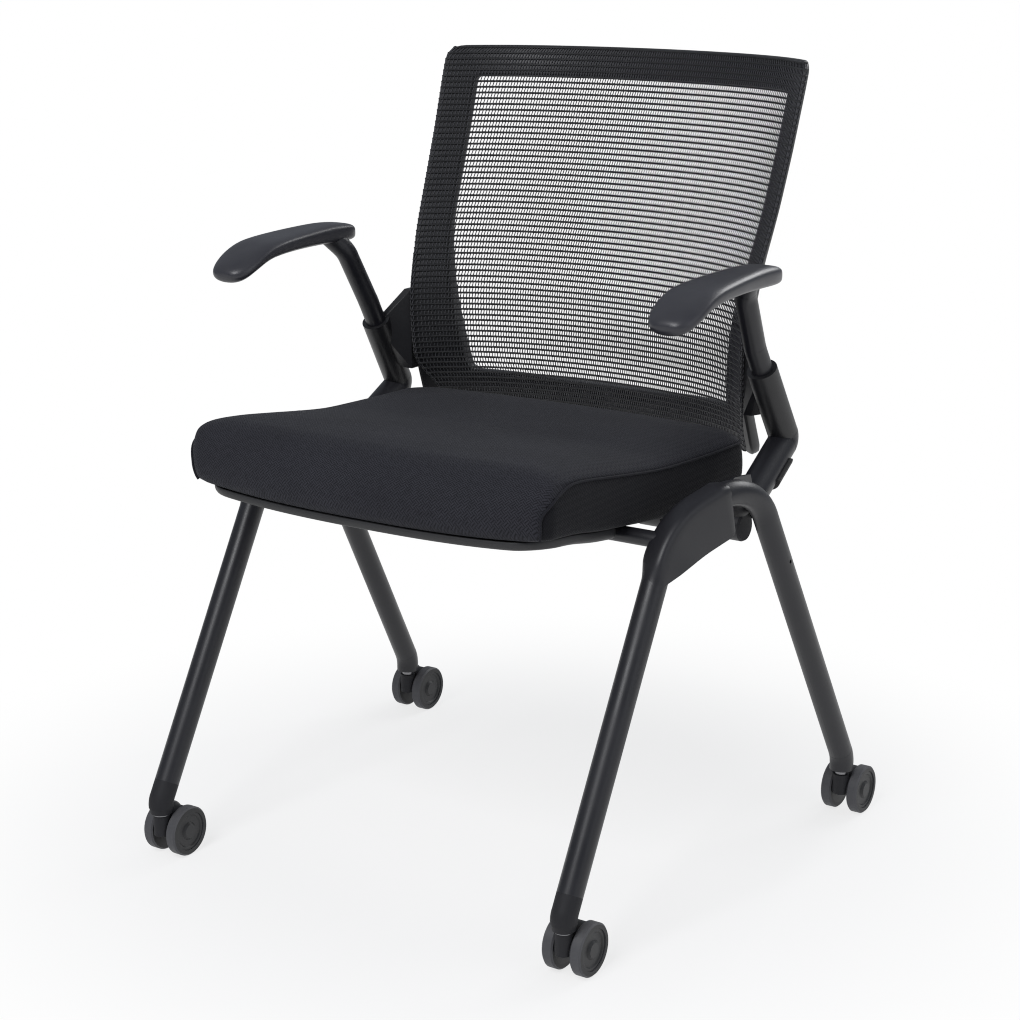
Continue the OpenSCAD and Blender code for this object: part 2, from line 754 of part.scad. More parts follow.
function back_share(z) = (z - back_foot_z) / (back_top_z - back_foot_z);
function back_half(z) = back_half_w * along(half_shares, back_share(z));
function edge_y(z) = let (s = clamp01(back_share(z)))
    front_y + lumbar_back
    + (s < lumbar_share ? foot_sweep * along(foot_shares, s) : back_sweep * along(sweep_shares, s));
function back_y(x, z) = let (u = min(1, abs(x) / back_half(z)))
    edge_y(z) + back_hollow * (round_share * (1 - pow(u, 2)) + (1 - round_share) * (1 - pow(u, 6)));
function stile_w(z) = mix(stile_foot_w, stile_top_w, smooth((back_share(z) - 0.25) / 0.42));
function back_depth(z) = mix(back_foot_depth, back_frame_depth, smooth((back_share(z) - 0.3) / 0.3));
function crown(x, z) = back_crown * (1 - pow(min(1, abs(x) / back_half(z)), 2)) * clamp01(back_share(z));

// A rounded loop in the back's own width and height, from the upper left round to the front:
// side_in is its distance from the side edge, top and foot are its heights. Its points crowd
// towards the sides, where the back curves most.
function back_loop(side_in, top, foot, r) = let (
        steps = 5, side_steps = 28, level_steps = 24,
        half = function (z) back_half(z) - side_in(z),
        across = function (k) cos(180 * k / level_steps))
    concat(
        [for (k = [0 : steps]) let (a = 90 * k / steps, z = top - r + r * cos(a))
            [half(z) - r + r * sin(a), z]],
        [for (k = [1 : side_steps - 1]) let (z = mix(top - r, foot + r, k / side_steps))
            [half(z), z]],
        [for (k = [0 : steps]) let (a = 90 * k / steps, z = foot + r - r * sin(a))
            [half(z) - r + r * cos(a), z]],
        [for (k = [1 : level_steps - 1]) [across(k) * (half(foot) - r), foot]],
        [for (k = [0 : steps]) let (a = 90 * k / steps, z = foot + r - r * cos(a))
            [-half(z) + r - r * sin(a), z]],
        [for (k = [1 : side_steps - 1]) let (z = mix(foot + r, top - r, k / side_steps))
            [-half(z), z]],
        [for (k = [0 : steps]) let (a = 90 * k / steps, z = top - r + r * sin(a))
            [-half(z) + r - r * cos(a), z]],
        [for (k = [1 : level_steps - 1]) [-across(k) * (half(top) - r), top]]);

// The frame's section: shares of the way inwards and of the depth
section_shares = [[0, 0.2], [0.08, 0], [0.35, 0], [0.62, 0], [0.9, 0], [1, 0.2], [1, 0.75], [0.88, 1],
    [0.12, 1], [0, 0.8]];

module loop_skin(rings) {
    count = len(rings[0]);
    turns = len(rings);
    points = [for (ring = rings) each ring];
    faces = [for (i = [0 : turns - 1], k = [0 : count - 1])
        let (n = (k + 1) % count, j = (i + 1) % turns)
            each [[i * count + k, j * count + n, i * count + n],
                  [i * count + k, j * count + k, j * count + n]]];
    polyhedron(points = points, faces = faces, convexity = 8);
}

opening_top = back_top_z - top_rail_w;
opening_foot = back_foot_z + foot_rail_w;
wing_low_z = 452;
wing_high_z = 541;
wing_t = 9;
wing_tail = 16;
screw_z = [mix(wing_low_z, wing_high_z, 0.54), wing_high_z - wing_tail];
wing_x = max([for (t = [0 : 0.1 : 1]) back_half(mix(wing_low_z, wing_high_z, t))]) + seat_gap;

module back_frame() {
    outer = back_loop(function (z) 0, back_top_z, back_foot_z, back_corner_r);
    inner = back_loop(function (z) stile_w(z), opening_top, opening_foot, opening_corner_r);
    rings = [for (i = [0 : len(outer) - 1])
        [for (share = section_shares) let (
                x = mix(outer[i].x, inner[i].x, share[0]),
                z = mix(outer[i].y, inner[i].y, share[0]))
            [x, back_y(x, z) + back_depth(z) * share[1], z + crown(x, z)]]];
    color([0.08, 0.08, 0.09])
        difference() {
            loop_skin(rings);
            for (side = [-1, 1], z = screw_z)
                on_side(side)
                    translate([back_half(z) - screw_reach, screw_y(z), z])
                        rotate([0, 90, 0])
                            cylinder(h = screw_reach + over, d = screw_d + 2 * slip_gap);
        }
}

screw_reach = 9;
function screw_y(z) = edge_y(z) + back_depth(z) * 0.55;

// Net: one sheet over the frame's front, with its gaps inside the frame's opening
module back_net() {
    gap_x = function (j, z) let (
            half = back_half(z) - stile_w(z),
            pitch = (2 * half + thread_w) / net_columns,
            c = floor((j - 1) / 2))
        -half + pitch * c + ((j - 1) % 2) * (pitch - thread_w);
    columns = 2 * net_columns + 1;
    row_pitch = (opening_top - opening_foot) / (net_rows - thread_share);
    row_z = function (i) opening_foot + row_pitch * (floor(i / 2) + (i % 2) * (1 - thread_share));
    margin = net_margin;
    levels = concat([back_foot_z + margin, mix(back_foot_z, opening_foot, 0.5)],
        [for (i = [0 : 2 * net_rows - 1]) row_z(i)],
        [mix(back_top_z, opening_top, 0.5), back_top_z - margin]);
    last = len(levels) - 1;
    is_gap = function (i, j) i >= 2 && i <= last - 2 && i % 2 == 0 && j % 2 == 1 && i < last - 2;
    place = function (i, j, front) let (
            end = (i == 0 || i == last) && (j == 0 || j == columns),
            z0 = levels[i],
            z = z0 + (end ? (i == 0 ? margin : -margin) : 0),
            half = back_half(z0) - margin - (end ? margin : 0),
            x = j == 0 ? -half : j == columns ? half : gap_x(j, z0))
        [x, back_y(x, z) - net_gap - (front ? net_t : 0), z + crown(x, z)];
    count = columns + 1;
    size = (last + 1) * count;
    index = function (i, j, front) i * count + j + (front ? 0 : size);
    points = [for (front = [true, false], i = [0 : last], j = [0 : columns]) place(i, j, front)];
    solid = function (i, j) i >= 0 && i < last && j >= 0 && j < columns && !is_gap(i, j);
    quad = function (a, b, c, d) [[a, b, c], [a, c, d]];
    faces = [for (i = [0 : last - 1], j = [0 : columns - 1]) if (solid(i, j)) each concat(
        quad(index(i, j, true), index(i + 1, j, true), index(i + 1, j + 1, true), index(i, j + 1, true)),
        quad(index(i, j, false), index(i, j + 1, false), index(i + 1, j + 1, false), index(i + 1, j, false)),
        solid(i - 1, j) ? [] : quad(index(i, j, true), index(i, j + 1, true),
            index(i, j + 1, false), index(i, j, false)),
        solid(i + 1, j) ? [] : quad(index(i + 1, j + 1, true), index(i + 1, j, true),
            index(i + 1, j, false), index(i + 1, j + 1, false)),
        solid(i, j - 1) ? [] : quad(index(i + 1, j, true), index(i, j, true),
            index(i, j, false), index(i + 1, j, false)),
        solid(i, j + 1) ? [] : quad(index(i, j + 1, true), index(i + 1, j + 1, true),
            index(i + 1, j + 1, false), index(i, j + 1, false)))];
    color([0.05, 0.05, 0.06])
        polyhedron(points = points, faces = faces, convexity = 12);
}

// A screw with its head at the origin's upper side and its shank downwards
module screw(length) {
    translate([0, 0, -length])
        cylinder(h = length + over / 2, d = screw_d);
    difference() {
        cylinder(h = screw_head_h, d = screw_head_d);
        translate([0, 0, screw_head_h / 2])
            cylinder(h = screw_head_h, d = screw_d * socket_share, $fn = 6);
    }
}

socket_share = 0.7;

module back_screws() {
    color([0.3, 0.3, 0.32])
        for (side = [-1, 1], z = screw_z)
            on_side(side)
                translate([wing_x + wing_t, screw_y(z), z])
                    rotate([0, 90, 0])
                        screw(wing_t + wing_x - back_half(z) + screw_reach - over);
}

// Seat: heights along the seat, from its front edge to its rear edge
top_shares = [[0, 1.0], [0.104, 1.0], [0.2, 0.86], [0.322, 0.62], [0.43, 0.4], [0.532, 0.22],
    [0.79, 0.07], [1, 0]];
skirt_shares = [[0, 1.0], [0.171, 1.0], [0.387, 0.6], [0.49, 0.38], [0.631, 0.09], [0.766, 0],
    [1, 0.1]];
corner_share = 0.3;

seat_front_y = front_y + seat_front_back;
seat_rear_y = front_y + seat_rear_back;
seat_length = seat_rear_y - seat_front_y;

function seat_share(y) = clamp01((y - seat_front_y) / seat_length);
function top_z(y) = mix(cushion_rear_z, cushion_front_z, along(top_shares, seat_share(y)));
function skirt_z(x, y) = mix(skirt_rear_z, skirt_front_z, along(skirt_shares, seat_share(y)))
    + skirt_corner_rise * pow(min(1, abs(x) / seat_half_w), 3) * (1 - smooth(seat_share(y) / corner_share));
function seam_z(x, y) = mix(skirt_z(x, y), top_z(y), mix(0.82, 0.78, seat_share(y)));
function board_z(y) = cross_z + board_rise - (y - cross_y) * tan(board_slope);

// The seat's outline: points with the direction that they face
function seat_outline(inset, r) = let (
        steps = 6, level_steps = 6, side_steps = 9,
        half = seat_half_w - inset, y0 = seat_front_y + inset, y1 = seat_rear_y - inset,
        arc = function (cx, cy, from) [for (k = [0 : steps]) let (a = from + 90 * k / steps)
            [cx + r * cos(a), cy + r * sin(a), cos(a), sin(a)]],
        row = function (a, b, n, dir) [for (k = [1 : n - 1]) let (t = k / n)
            [mix(a.x, b.x, t), mix(a.y, b.y, t), dir.x, dir.y]])
    [for (p = concat(
        arc(half - r, y1 - r, 0),
        row([half - r, y1], [-half + r, y1], level_steps, [0, 1]),
        arc(-half + r, y1 - r, 90),
        row([-half, y1 - r], [-half, y0 + r], side_steps, [-1, 0]),
        arc(-half + r, y0 + r, 180),
        row([-half + r, y0], [half - r, y0], level_steps, [0, -1]),
        arc(half - r, y0 + r, 270),
        row([half, y0 + r], [half, y1 - r], side_steps, [1, 0])))
        let (u = 1 - pow(p.x / half, 2))
        [p.x, p.y + u * (p[3] > 0.5 ? seat_rear_bow : p[3] < -0.5 ? -seat_front_bow : 0) , p[2], p[3]]];

// Levels of the cushion's side: inset at the sides, inset at the front, height from the
// skirt (0) over the seam (1) to the top (2)
level_shares = [
    [0.05, 0.25, 0.00, 0.00],
    [0.00, 0.08, 0.25, 0.22],
    [0.00, 0.00, 0.60, 0.62],
    [0.03, 0.05, 0.92, 0.88],
    [0.00, 0.12, 1.00, 1.00],
    [0.04, 0.22, 1.30, 1.20],
    [0.20, 0.50, 1.76, 1.74],
    [0.86, 1.00, 1.98, 2.00]];
roll_w = 40;
inner_corner_r = 8;
board_corner_r = 12;

module seat_cushion() {
    outline = seat_outline(roll_w, inner_corner_r);
    pocket = seat_outline(board_inset - seat_gap, board_corner_r + seat_gap);
    middle_y = (seat_front_y + seat_rear_y) / 2;
    scaled = function (p, k, z) [p.x * k, middle_y + (p.y - middle_y) * k, z];
    height = function (x, y, level) level <= 1 ? mix(skirt_z(x, y), seam_z(x, y), level)
        : mix(seam_z(x, y), top_z(y), level - 1);
    side_ring = function (row)
        [for (p = seat_outline(0, max(seat_corner_r, roll_w * row[1] + inner_corner_r))) let (
            f = pow(max(0, -p[3]), 1.5),
            inset = roll_w * mix(row[0], row[1], f),
            x = p.x - p[2] * inset,
            y = p.y - p[3] * inset)
        [x, y, height(p.x, p.y, mix(row[2], row[3], f))]];
    board_ring = function (lift) [for (p = pocket)
        [p.x, p.y, lift ? board_z(p.y) + (board_t + seat_gap) / cos(board_slope)
            : skirt_z(p.x, p.y) + seat_gap]];
    rings = concat(
        [[for (p = pocket) let (q = scaled(p, 0.5, 0))
            [q.x, q.y, board_z(q.y) + (board_t + seat_gap) / cos(board_slope)]]],
        [board_ring(true), board_ring(false)],
        [for (row = level_shares) side_ring(row)],
        [for (k = [0.7, 0.35]) [for (p = outline) let (q = scaled(p, k, 0))
            [q.x, q.y, top_z(q.y) + cushion_crown * (1 - k * k)]]]);
    color([0.06, 0.06, 0.07])
        skin_over(rings);
}

cushion_crown = 3;

module in_board(y) {
    translate([0, y, board_z(y)])
        rotate([-board_slope, 0, 0])
            children();
}

hinge_screw_y = 24;
flange_t = 3;

module screw_places() {
    for (x = [-hinge_x, hinge_x], y = [-hinge_screw_y, hinge_screw_y])
        in_board(pivot_y)
            translate([x, y, 0])
                children();
}

module seat_board() {
    front = seat_front_y + board_inset + seat_front_bow;
    rear = seat_rear_y - board_inset;
    half = seat_half_w - board_inset;
    r = board_corner_r;
    color([0.35, 0.3, 0.24])
        difference() {
            in_board((front + rear) / 2)
                linear_extrude(height = board_t)
                    union() {
                        square([2 * half, rear - front - 2 * r], center = true);
                        square([2 * (half - r), rear - front], center = true);
                        for (x = [-1, 1], y = [-1, 1])
                            translate([x * (half - r), y * ((rear - front) / 2 - r)])
                                circle(r = r);
                    }
            screw_places()
                translate([0, 0, -over])
                    cylinder(h = board_t, d = screw_d + 2 * slip_gap);
        }
}

// Pan: a shallow tray under the front of the cushion, up to the cross tube. Its rings run
// from the underside over the lip to the field that lies under the board.
module seat_pan() {
    end_y = cross_y - cross_d / 2 - pan_end_gap;
    lip = function (x, y, drop) skirt_z(x, y) - seat_gap - drop * pan_shape(seat_share(y));
    field = function (x, y) min(skirt_z(0, y), board_z(y)) - seat_gap;
    corner_r = max(seat_corner_r - pan_inset / 2, board_inset - pan_inset + over);
    outline = [for (p = seat_outline(pan_inset, corner_r)) if (p.y < end_y) p];
    last_y = max([for (p = outline) p.y]);
    level = function (inset, drop, flat) let (rear_y = flat ? mix(last_y, end_y, 0.5) : end_y)
        concat(
            [for (p = outline) let (x = p.x - p[2] * inset, y = p.y - p[3] * inset)
                [x, y, flat ? field(x, y) : lip(x, y, drop)]],
            [for (k = [1 : 7]) let (x = mix(1, -1, k / 8) * (seat_half_w - pan_inset - inset))
                [x, rear_y, flat ? field(x, rear_y) : lip(x, rear_y, drop)]]);
    rings = [level(board_inset - pan_inset, 0, true), level(0, 0, false), level(0, pan_drop * 0.5, false),
        level(pan_drop * 0.3, pan_drop * 0.9, false), level(pan_drop, pan_drop, false)];
    color([0.13, 0.13, 0.14])
        skin_over([for (i = [len(rings) - 1 : -1 : 0]) rings[i]]);
}

pan_end_gap = 7;
function pan_shape(s) = mix(1, 1.35, s / 0.37);

module hinge(side) {
    h = board_z(pivot_y) - pivot_z;
    slope = tan(board_slope);
    wall = 4;
    flange_y = hinge_screw_y + screw_head_d * 0.75;
    neck = pivot_r;
    color([0.3, 0.3, 0.32])
        difference() {
            on_side(side)
                translate([hinge_x - hinge_w / 2, pivot_y, pivot_z])
                    rotate([90, 0, 90])
                        linear_extrude(height = hinge_w)
                            difference() {
                                union() {
                                    circle(r = pivot_r + wall);
                                    polygon([[-flange_y, h + flange_y * slope - seat_gap],
                                        [-flange_y, h + flange_y * slope - seat_gap - flange_t],
                                        [-neck, h + neck * slope - seat_gap - flange_t],
                                        [-neck, 0], [neck, 0],
                                        [neck, h - neck * slope - seat_gap - flange_t],
                                        [flange_y, h - flange_y * slope - seat_gap - flange_t],
                                        [flange_y, h - flange_y * slope - seat_gap]]);
                                }
                                circle(r = pivot_r + run_gap);
                            }
            screw_places()
                translate([0, 0, -2 * board_t])
                    cylinder(h = 2 * board_t + over, d = screw_d + 2 * slip_gap);
        }
}

module seat_screws() {
    color([0.5, 0.5, 0.52])
        screw_places()
            translate([0, 0, -flange_t - 2 * seat_gap])
                mirror([0, 0, 1])
                    screw(flange_t + board_t - 2 * over);
}

module rest_pads() {
    pad_x = 110;
    pad_size = [26, 9];
    thick = board_rise - cross_d / 2 - 2 * seat_gap;
    color([0.12, 0.12, 0.12])
        for (side = [-1, 1])
            in_board(cross_y)
                translate([side * pad_x - pad_size.x / 2, -pad_size.y / 2, -thick - seat_gap / 2])
                    cube([pad_size.x, pad_size.y, thick]);
}

// Casters: the wheels trail behind the stems

stem_step = 0.5;
hood_top = front_foot_z - 2 * seat_gap - collar_t;
stem_low_r = stem_d / 2 - stem_step;
hood_half = wheel_inset - stem_step;

function stem_place(end) = end == "front" ? [front_track / 2, front_y, front_foot_z]
    : [rear_track / 2, rear_y, rear_foot_z];

module at_axle(side, end) {
    p = stem_place(end);
    on_side(side)
        translate([p.x, p.y + trail, wheel_r])
            rotate([0, 90, 0])
                children();
}

module caster_stems() {
    color([0.6, 0.6, 0.62])
        for (side = [-1, 1], end = ["front", "rear"]) {
            p = stem_place(end);
            on_side(side)
                translate([p.x, p.y, 0]) {
                    translate([0, 0, hood_top - stem_drop])
                        cylinder(h = stem_drop + 2 * seat_gap, r = stem_low_r);
                    translate([0, 0, hood_top + seat_gap])
                        cylinder(h = p.z - hood_top - 2 * seat_gap, r = stem_d / 2 + over);
                    translate([0, 0, p.z - seat_gap - collar_t])
                        cylinder(h = collar_t, d = collar_d);
                    translate([0, 0, p.z - 2 * seat_gap])
                        cylinder(h = stem_reach, d = stem_d);
                }
        }
}

module hood(side, end) {
    p = stem_place(end);
    color([0.1, 0.1, 0.11])
        on_side(side)
            translate([p.x, p.y, 0])
                difference() {
                    union() {
                        translate([-hood_half, 0, 0])
                            rotate([90, 0, 90])
                                linear_extrude(height = 2 * hood_half)
                                    translate([trail, wheel_r]) {
                                        circle(r = hood_hub_r);
                                        difference() {
                                            circle(r = hood_r);
                                            translate([-2 * hood_r, -2 * hood_r])
                                                square([4 * hood_r, 2 * hood_r]);
                                        }
                                    }
                        translate([0, 0, hood_top - stem_drop - 2 * over])
                            cylinder(h = stem_drop + 2 * over, r = hood_half - slip_gap);
                    }
                    translate([0, 0, hood_top - stem_drop - over / 2])
                        cylinder(h = stem_drop + over, r = stem_low_r + run_gap);
                    translate([-hood_half - over, trail, wheel_r])
                        rotate([0, 90, 0])
                            cylinder(h = 2 * (hood_half + over), d = axle_d);
                }
}

module axle(side, end) {
    reach = wheel_inset + wheel_w - bore_floor - seat_gap;
    color([0.6, 0.6, 0.62])
        at_axle(side, end)
            translate([0, 0, -reach])
                cylinder(h = 2 * reach, d = axle_d);
}

bore_floor = 3;

module tyre(side, end, out) {
    color([0.28, 0.28, 0.29])
        at_axle(side, end)
            mirror([0, 0, out ? 0 : 1])
                translate([0, 0, wheel_inset])
                    rotate_extrude()
                        polygon([[disc_d / 2, 0], [wheel_r - tyre_bevel, 0], [wheel_r, tyre_bevel],
                            [wheel_r, wheel_w - tyre_bevel], [wheel_r - tyre_bevel, wheel_w],
                            [disc_d / 2, wheel_w]]);
}

module disc(side, end, out) {
    face = wheel_w - disc_recess;
    groove = 1.2;
    rim = 3;
    color([0.2, 0.2, 0.21])
        at_axle(side, end)
            mirror([0, 0, out ? 0 : 1])
                translate([0, 0, wheel_inset])
                    difference() {
                        rotate_extrude()
                            polygon([[0, 0], [disc_d / 2, 0], [disc_d / 2, face],
                                [disc_d / 2 - rim, face], [disc_d / 2 - rim - groove, face - groove],
                                [cap_d / 2 + groove, face - groove], [cap_d / 2, face],
                                [cap_d / 2 - groove, wheel_w], [0, wheel_w]]);
                        translate([0, 0, -over])
                            cylinder(h = wheel_w - bore_floor + over, d = axle_d + 2 * run_gap);
                    }
}

front_leg(1);  // front_leg_left
front_leg(-1);  // front_leg_right
rail(1);  // rail_left
rail(-1);  // rail_right
rail_bracket(1);  // rail_bracket_left
rail_bracket(-1);  // rail_bracket_right
cross_tube();
pivot_tube();
pivot_caps();
front_foot(1);  // front_foot_left
front_foot(-1);  // front_foot_right
rear_plug(1);  // rear_plug_left
rear_plug(-1);  // rear_plug_right
upright(1);  // upright_left
upright(-1);  // upright_right
nesting_bumpers();
back_bracket(1);  // back_bracket_left
back_bracket(-1);  // back_bracket_right
arm_tube(1);  // arm_tube_left
arm_tube(-1);  // arm_tube_right
arm_pad(1);  // arm_pad_left
arm_pad(-1);  // arm_pad_right
back_frame();
back_net();
back_screws();
seat_board();
seat_pan();
seat_cushion();
hinge(1);  // hinge_left
hinge(-1);  // hinge_right
rest_pads();
seat_screws();
caster_stems();
hood(1, "front");  // hood_front_left
axle(1, "front");  // axle_front_left
tyre(1, "front", true);  // tyre_front_left_out
disc(1, "front", true);  // disc_front_left_out
tyre(1, "front", false);  // tyre_front_left_in
disc(1, "front", false);  // disc_front_left_in
hood(-1, "front");  // hood_front_right
axle(-1, "front");  // axle_front_right
tyre(-1, "front", true);  // tyre_front_right_out
disc(-1, "front", true);  // disc_front_right_out
tyre(-1, "front", false);  // tyre_front_right_in
disc(-1, "front", false);  // disc_front_right_in
hood(1, "rear");  // hood_rear_left
axle(1, "rear");  // axle_rear_left
tyre(1, "rear", true);  // tyre_rear_left_out
disc(1, "rear", true);  // disc_rear_left_out
tyre(1, "rear", false);  // tyre_rear_left_in
disc(1, "rear", false);  // disc_rear_left_in
hood(-1, "rear");  // hood_rear_right
axle(-1, "rear");  // axle_rear_right
tyre(-1, "rear", true);  // tyre_rear_right_out
disc(-1, "rear", true);  // disc_rear_right_out
tyre(-1, "rear", false);  // tyre_rear_right_in
disc(-1, "rear", false);  // disc_rear_right_in
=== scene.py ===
# %% [markdown]
# # A nesting chair, dressed
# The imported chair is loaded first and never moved: every tube, wheel and bracket of it stays
# where the construction put it. This script adds what a photograph shows and a plain solid
# cannot: the padded seat, the knitted net, the moulded pads, and a finish for every piece.
# All lengths are in metres, +X is the sitter's left, -Y is the front and +Z is up.

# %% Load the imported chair
import json
import math

import bmesh
import bpy
import numpy as np
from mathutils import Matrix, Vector
from mathutils.kdtree import KDTree


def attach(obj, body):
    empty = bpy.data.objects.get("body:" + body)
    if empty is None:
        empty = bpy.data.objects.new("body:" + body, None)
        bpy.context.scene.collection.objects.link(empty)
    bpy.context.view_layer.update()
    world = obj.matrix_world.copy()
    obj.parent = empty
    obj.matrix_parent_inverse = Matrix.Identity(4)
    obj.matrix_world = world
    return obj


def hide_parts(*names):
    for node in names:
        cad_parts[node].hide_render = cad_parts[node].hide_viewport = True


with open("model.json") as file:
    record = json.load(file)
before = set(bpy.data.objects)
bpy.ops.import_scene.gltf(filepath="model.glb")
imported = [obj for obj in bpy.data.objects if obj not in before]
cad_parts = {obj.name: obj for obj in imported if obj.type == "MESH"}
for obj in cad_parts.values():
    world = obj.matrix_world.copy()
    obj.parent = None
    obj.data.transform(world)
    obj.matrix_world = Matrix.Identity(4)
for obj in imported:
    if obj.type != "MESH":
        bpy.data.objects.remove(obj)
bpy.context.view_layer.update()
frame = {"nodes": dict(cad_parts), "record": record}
nodes = frame["nodes"]
scene = bpy.context.scene

# %% [markdown]
# ## The camera
# The camera comes first, because everything after it is judged through it. Its place and its
# two angles were worked out from the photograph: it looks down by about fifteen degrees from
# the front, well round to the sitter's left.

# %% Camera
mm = 0.001
front_y = -0.28235
azimuth, elevation = math.radians(33.646), math.radians(15.389)
camera_data = bpy.data.cameras.new("camera")
camera_data.sensor_width = 36.0
camera_data.lens = 36.0 * 2248.85 / 1020.0
camera_data.clip_end = 50.0
camera = bpy.data.objects.new("camera", camera_data)
camera.location = (1.24781, front_y - 1.59462, 0.96603)
camera.rotation_euler = (math.pi / 2 - elevation, 0.0, azimuth)
scene.collection.objects.link(camera)
scene.camera = camera
print("front caster stems at y", round(front_y, 5), "lens", round(camera_data.lens, 2))

# %% [markdown]
# ## Helpers for meshes
# A few small helpers make most of the shapes: a skin over rings of points, a table that is
# read with straight lines between its rows, and modifiers that are baked into plain meshes.


# %% Mesh helpers
def lookup(table, s):
    """Value of a table of (place, value) rows at a place, straight between the rows."""
    xs, ys = zip(*table)
    return float(np.interp(s, xs, ys))


def smooth(t):
    t = min(1.0, max(0.0, t))
    return t * t * (3 - 2 * t)


def mix(a, b, t):
    return a + (b - a) * t


def make_object(name, verts, faces, material=None, flat=False):
    mesh = bpy.data.meshes.new(name)
    mesh.from_pydata([tuple(v) for v in verts], [], faces)
    mesh.update()
    obj = bpy.data.objects.new(name, mesh)
    scene.collection.objects.link(obj)
    if material:
        mesh.materials.append(material)
    if not flat:
        mesh.polygons.foreach_set("use_smooth", [True] * len(mesh.polygons))
    return obj


def outward(obj):
    """Merges doubles and turns every face outwards."""
    bm = bmesh.new()
    bm.from_mesh(obj.data)
    bmesh.ops.remove_doubles(bm, verts=bm.verts, dist=1e-6)
    bmesh.ops.recalc_face_normals(bm, faces=bm.faces)
    bm.to_mesh(obj.data)
    bm.free()
    return obj


def skin(name, rings, close_rings=False, caps=True, material=None):
    """A skin over rings of equally many points; caps close its two ends with fans."""
    count = len(rings[0])
    verts = [p for ring in rings for p in ring]
    faces = []
    turns = len(rings) if close_rings else len(rings) - 1
    for i in range(turns):
        j = (i + 1) % len(rings)
        for k in range(count):
            n = (k + 1) % count
            faces.append((i * count + k, i * count + n, j * count + n, j * count + k))
    if caps and not close_rings:
        for i, flip in ((0, True), (len(rings) - 1, False)):
            ring = np.array(rings[i])
            middle = (ring.min(0) + ring.max(0)) / 2
            verts.append(tuple(middle))
            c = len(verts) - 1
            for k in range(count):
                n = (k + 1) % count
                a, b = i * count + k, i * count + n
                faces.append((c, b, a) if flip else (c, a, b))
    return outward(make_object(name, verts, faces, material))


def apply_modifiers(obj):
    """Bakes an object's modifiers into a new plain mesh of its own."""
    depsgraph = bpy.context.evaluated_depsgraph_get()
    mesh = bpy.data.meshes.new_from_object(obj.evaluated_get(depsgraph))
    obj.modifiers.clear()
    obj.data = mesh
    return obj


def subdivide(obj, levels):
    mod = obj.modifiers.new("Fine", "SUBSURF")
    mod.levels = levels
    mod.render_levels = levels
    return apply_modifiers(obj)


# %% [markdown]
# ## Shader groups
# Several finishes share an effect: the fine orange peel of powder coat and the leather-like
# texture of moulded plastic are both noise that lifts the surface, and dust settles on all of
# them. Each effect is one node group with named inputs, placed in each material with its own
# values. A group gives out only masks, values and normals; the shader stays in the material.


# %% Group helpers
def new_group(name, inputs, outputs):
    group = bpy.data.node_groups.new(name, "ShaderNodeTree")
    for label, kind, value in inputs:
        socket = group.interface.new_socket(label, in_out="INPUT", socket_type=kind)
        if value is not None:
            socket.default_value = value
    for label, kind in outputs:
        group.interface.new_socket(label, in_out="OUTPUT", socket_type=kind)
    return group, group.nodes.new("NodeGroupInput"), group.nodes.new("NodeGroupOutput")


def feed(tree, socket, value):
    """Links a socket to the one that makes its value, or gives it a plain value."""
    if isinstance(value, bpy.types.NodeSocket):
        tree.links.new(value, socket)
    else:
        socket.default_value = value


def node(tree, kind, **values):
    """A new node. A value feeds the input of its name, with spaces for underscores, or is
    one of the node's settings."""
    made = tree.nodes.new(kind)
    for key, value in values.items():
        label = key.replace("_", " ")
        if label in made.inputs:
            feed(tree, made.inputs[label], value)
        else:
            setattr(made, key, value)
    return made


def math_node(tree, operation, a, b=None, clamp=False):
    made = node(tree, "ShaderNodeMath", operation=operation, use_clamp=clamp)
    for socket, value in zip(made.inputs, (a, b)):
        if value is not None:
            feed(tree, socket, value)
    return made.outputs[0]


def mix_colour(tree, fac, a, b):
    made = node(tree, "ShaderNodeMix", data_type="RGBA")
    for socket, value in ((made.inputs[0], fac), (made.inputs[6], a), (made.inputs[7], b)):
        feed(tree, socket, value)
    return made.outputs[2]


def parts(tree, vector):
    return node(tree, "ShaderNodeSeparateXYZ", Vector=vector).outputs


# %% Surface grain, used by paint, plastic, rubber and steel
def build_grain():
    group, g_in, g_out = new_group(
        "surface_grain",
        [("Vector", "NodeSocketVector", None), ("Grain", "NodeSocketFloat", 900.0),
         ("Cloud", "NodeSocketFloat", 14.0), ("Rough", "NodeSocketFloat", 0.4),
         ("Spread", "NodeSocketFloat", 0.08)],
        [("Height", "NodeSocketFloat"), ("Roughness", "NodeSocketFloat"),
         ("Cloud", "NodeSocketFloat")])
    given = g_in.outputs
    fine, cloud = (node(group, "ShaderNodeTexNoise", Vector=given["Vector"], Scale=given[label],
                        Detail=detail) for label, detail in (("Grain", 3.0), ("Cloud", 4.0)))
    drift = math_node(group, "SUBTRACT", cloud.outputs[0], 0.5)
    spread = math_node(group, "MULTIPLY", math_node(group, "MULTIPLY", drift, given["Spread"]), 4.0)
    rough = math_node(group, "ADD", given["Rough"], spread, clamp=True)
    for socket, value in zip(g_out.inputs, (fine.outputs[0], rough, cloud.outputs[0])):
        feed(group, socket, value)
    return group


grain_group = build_grain()


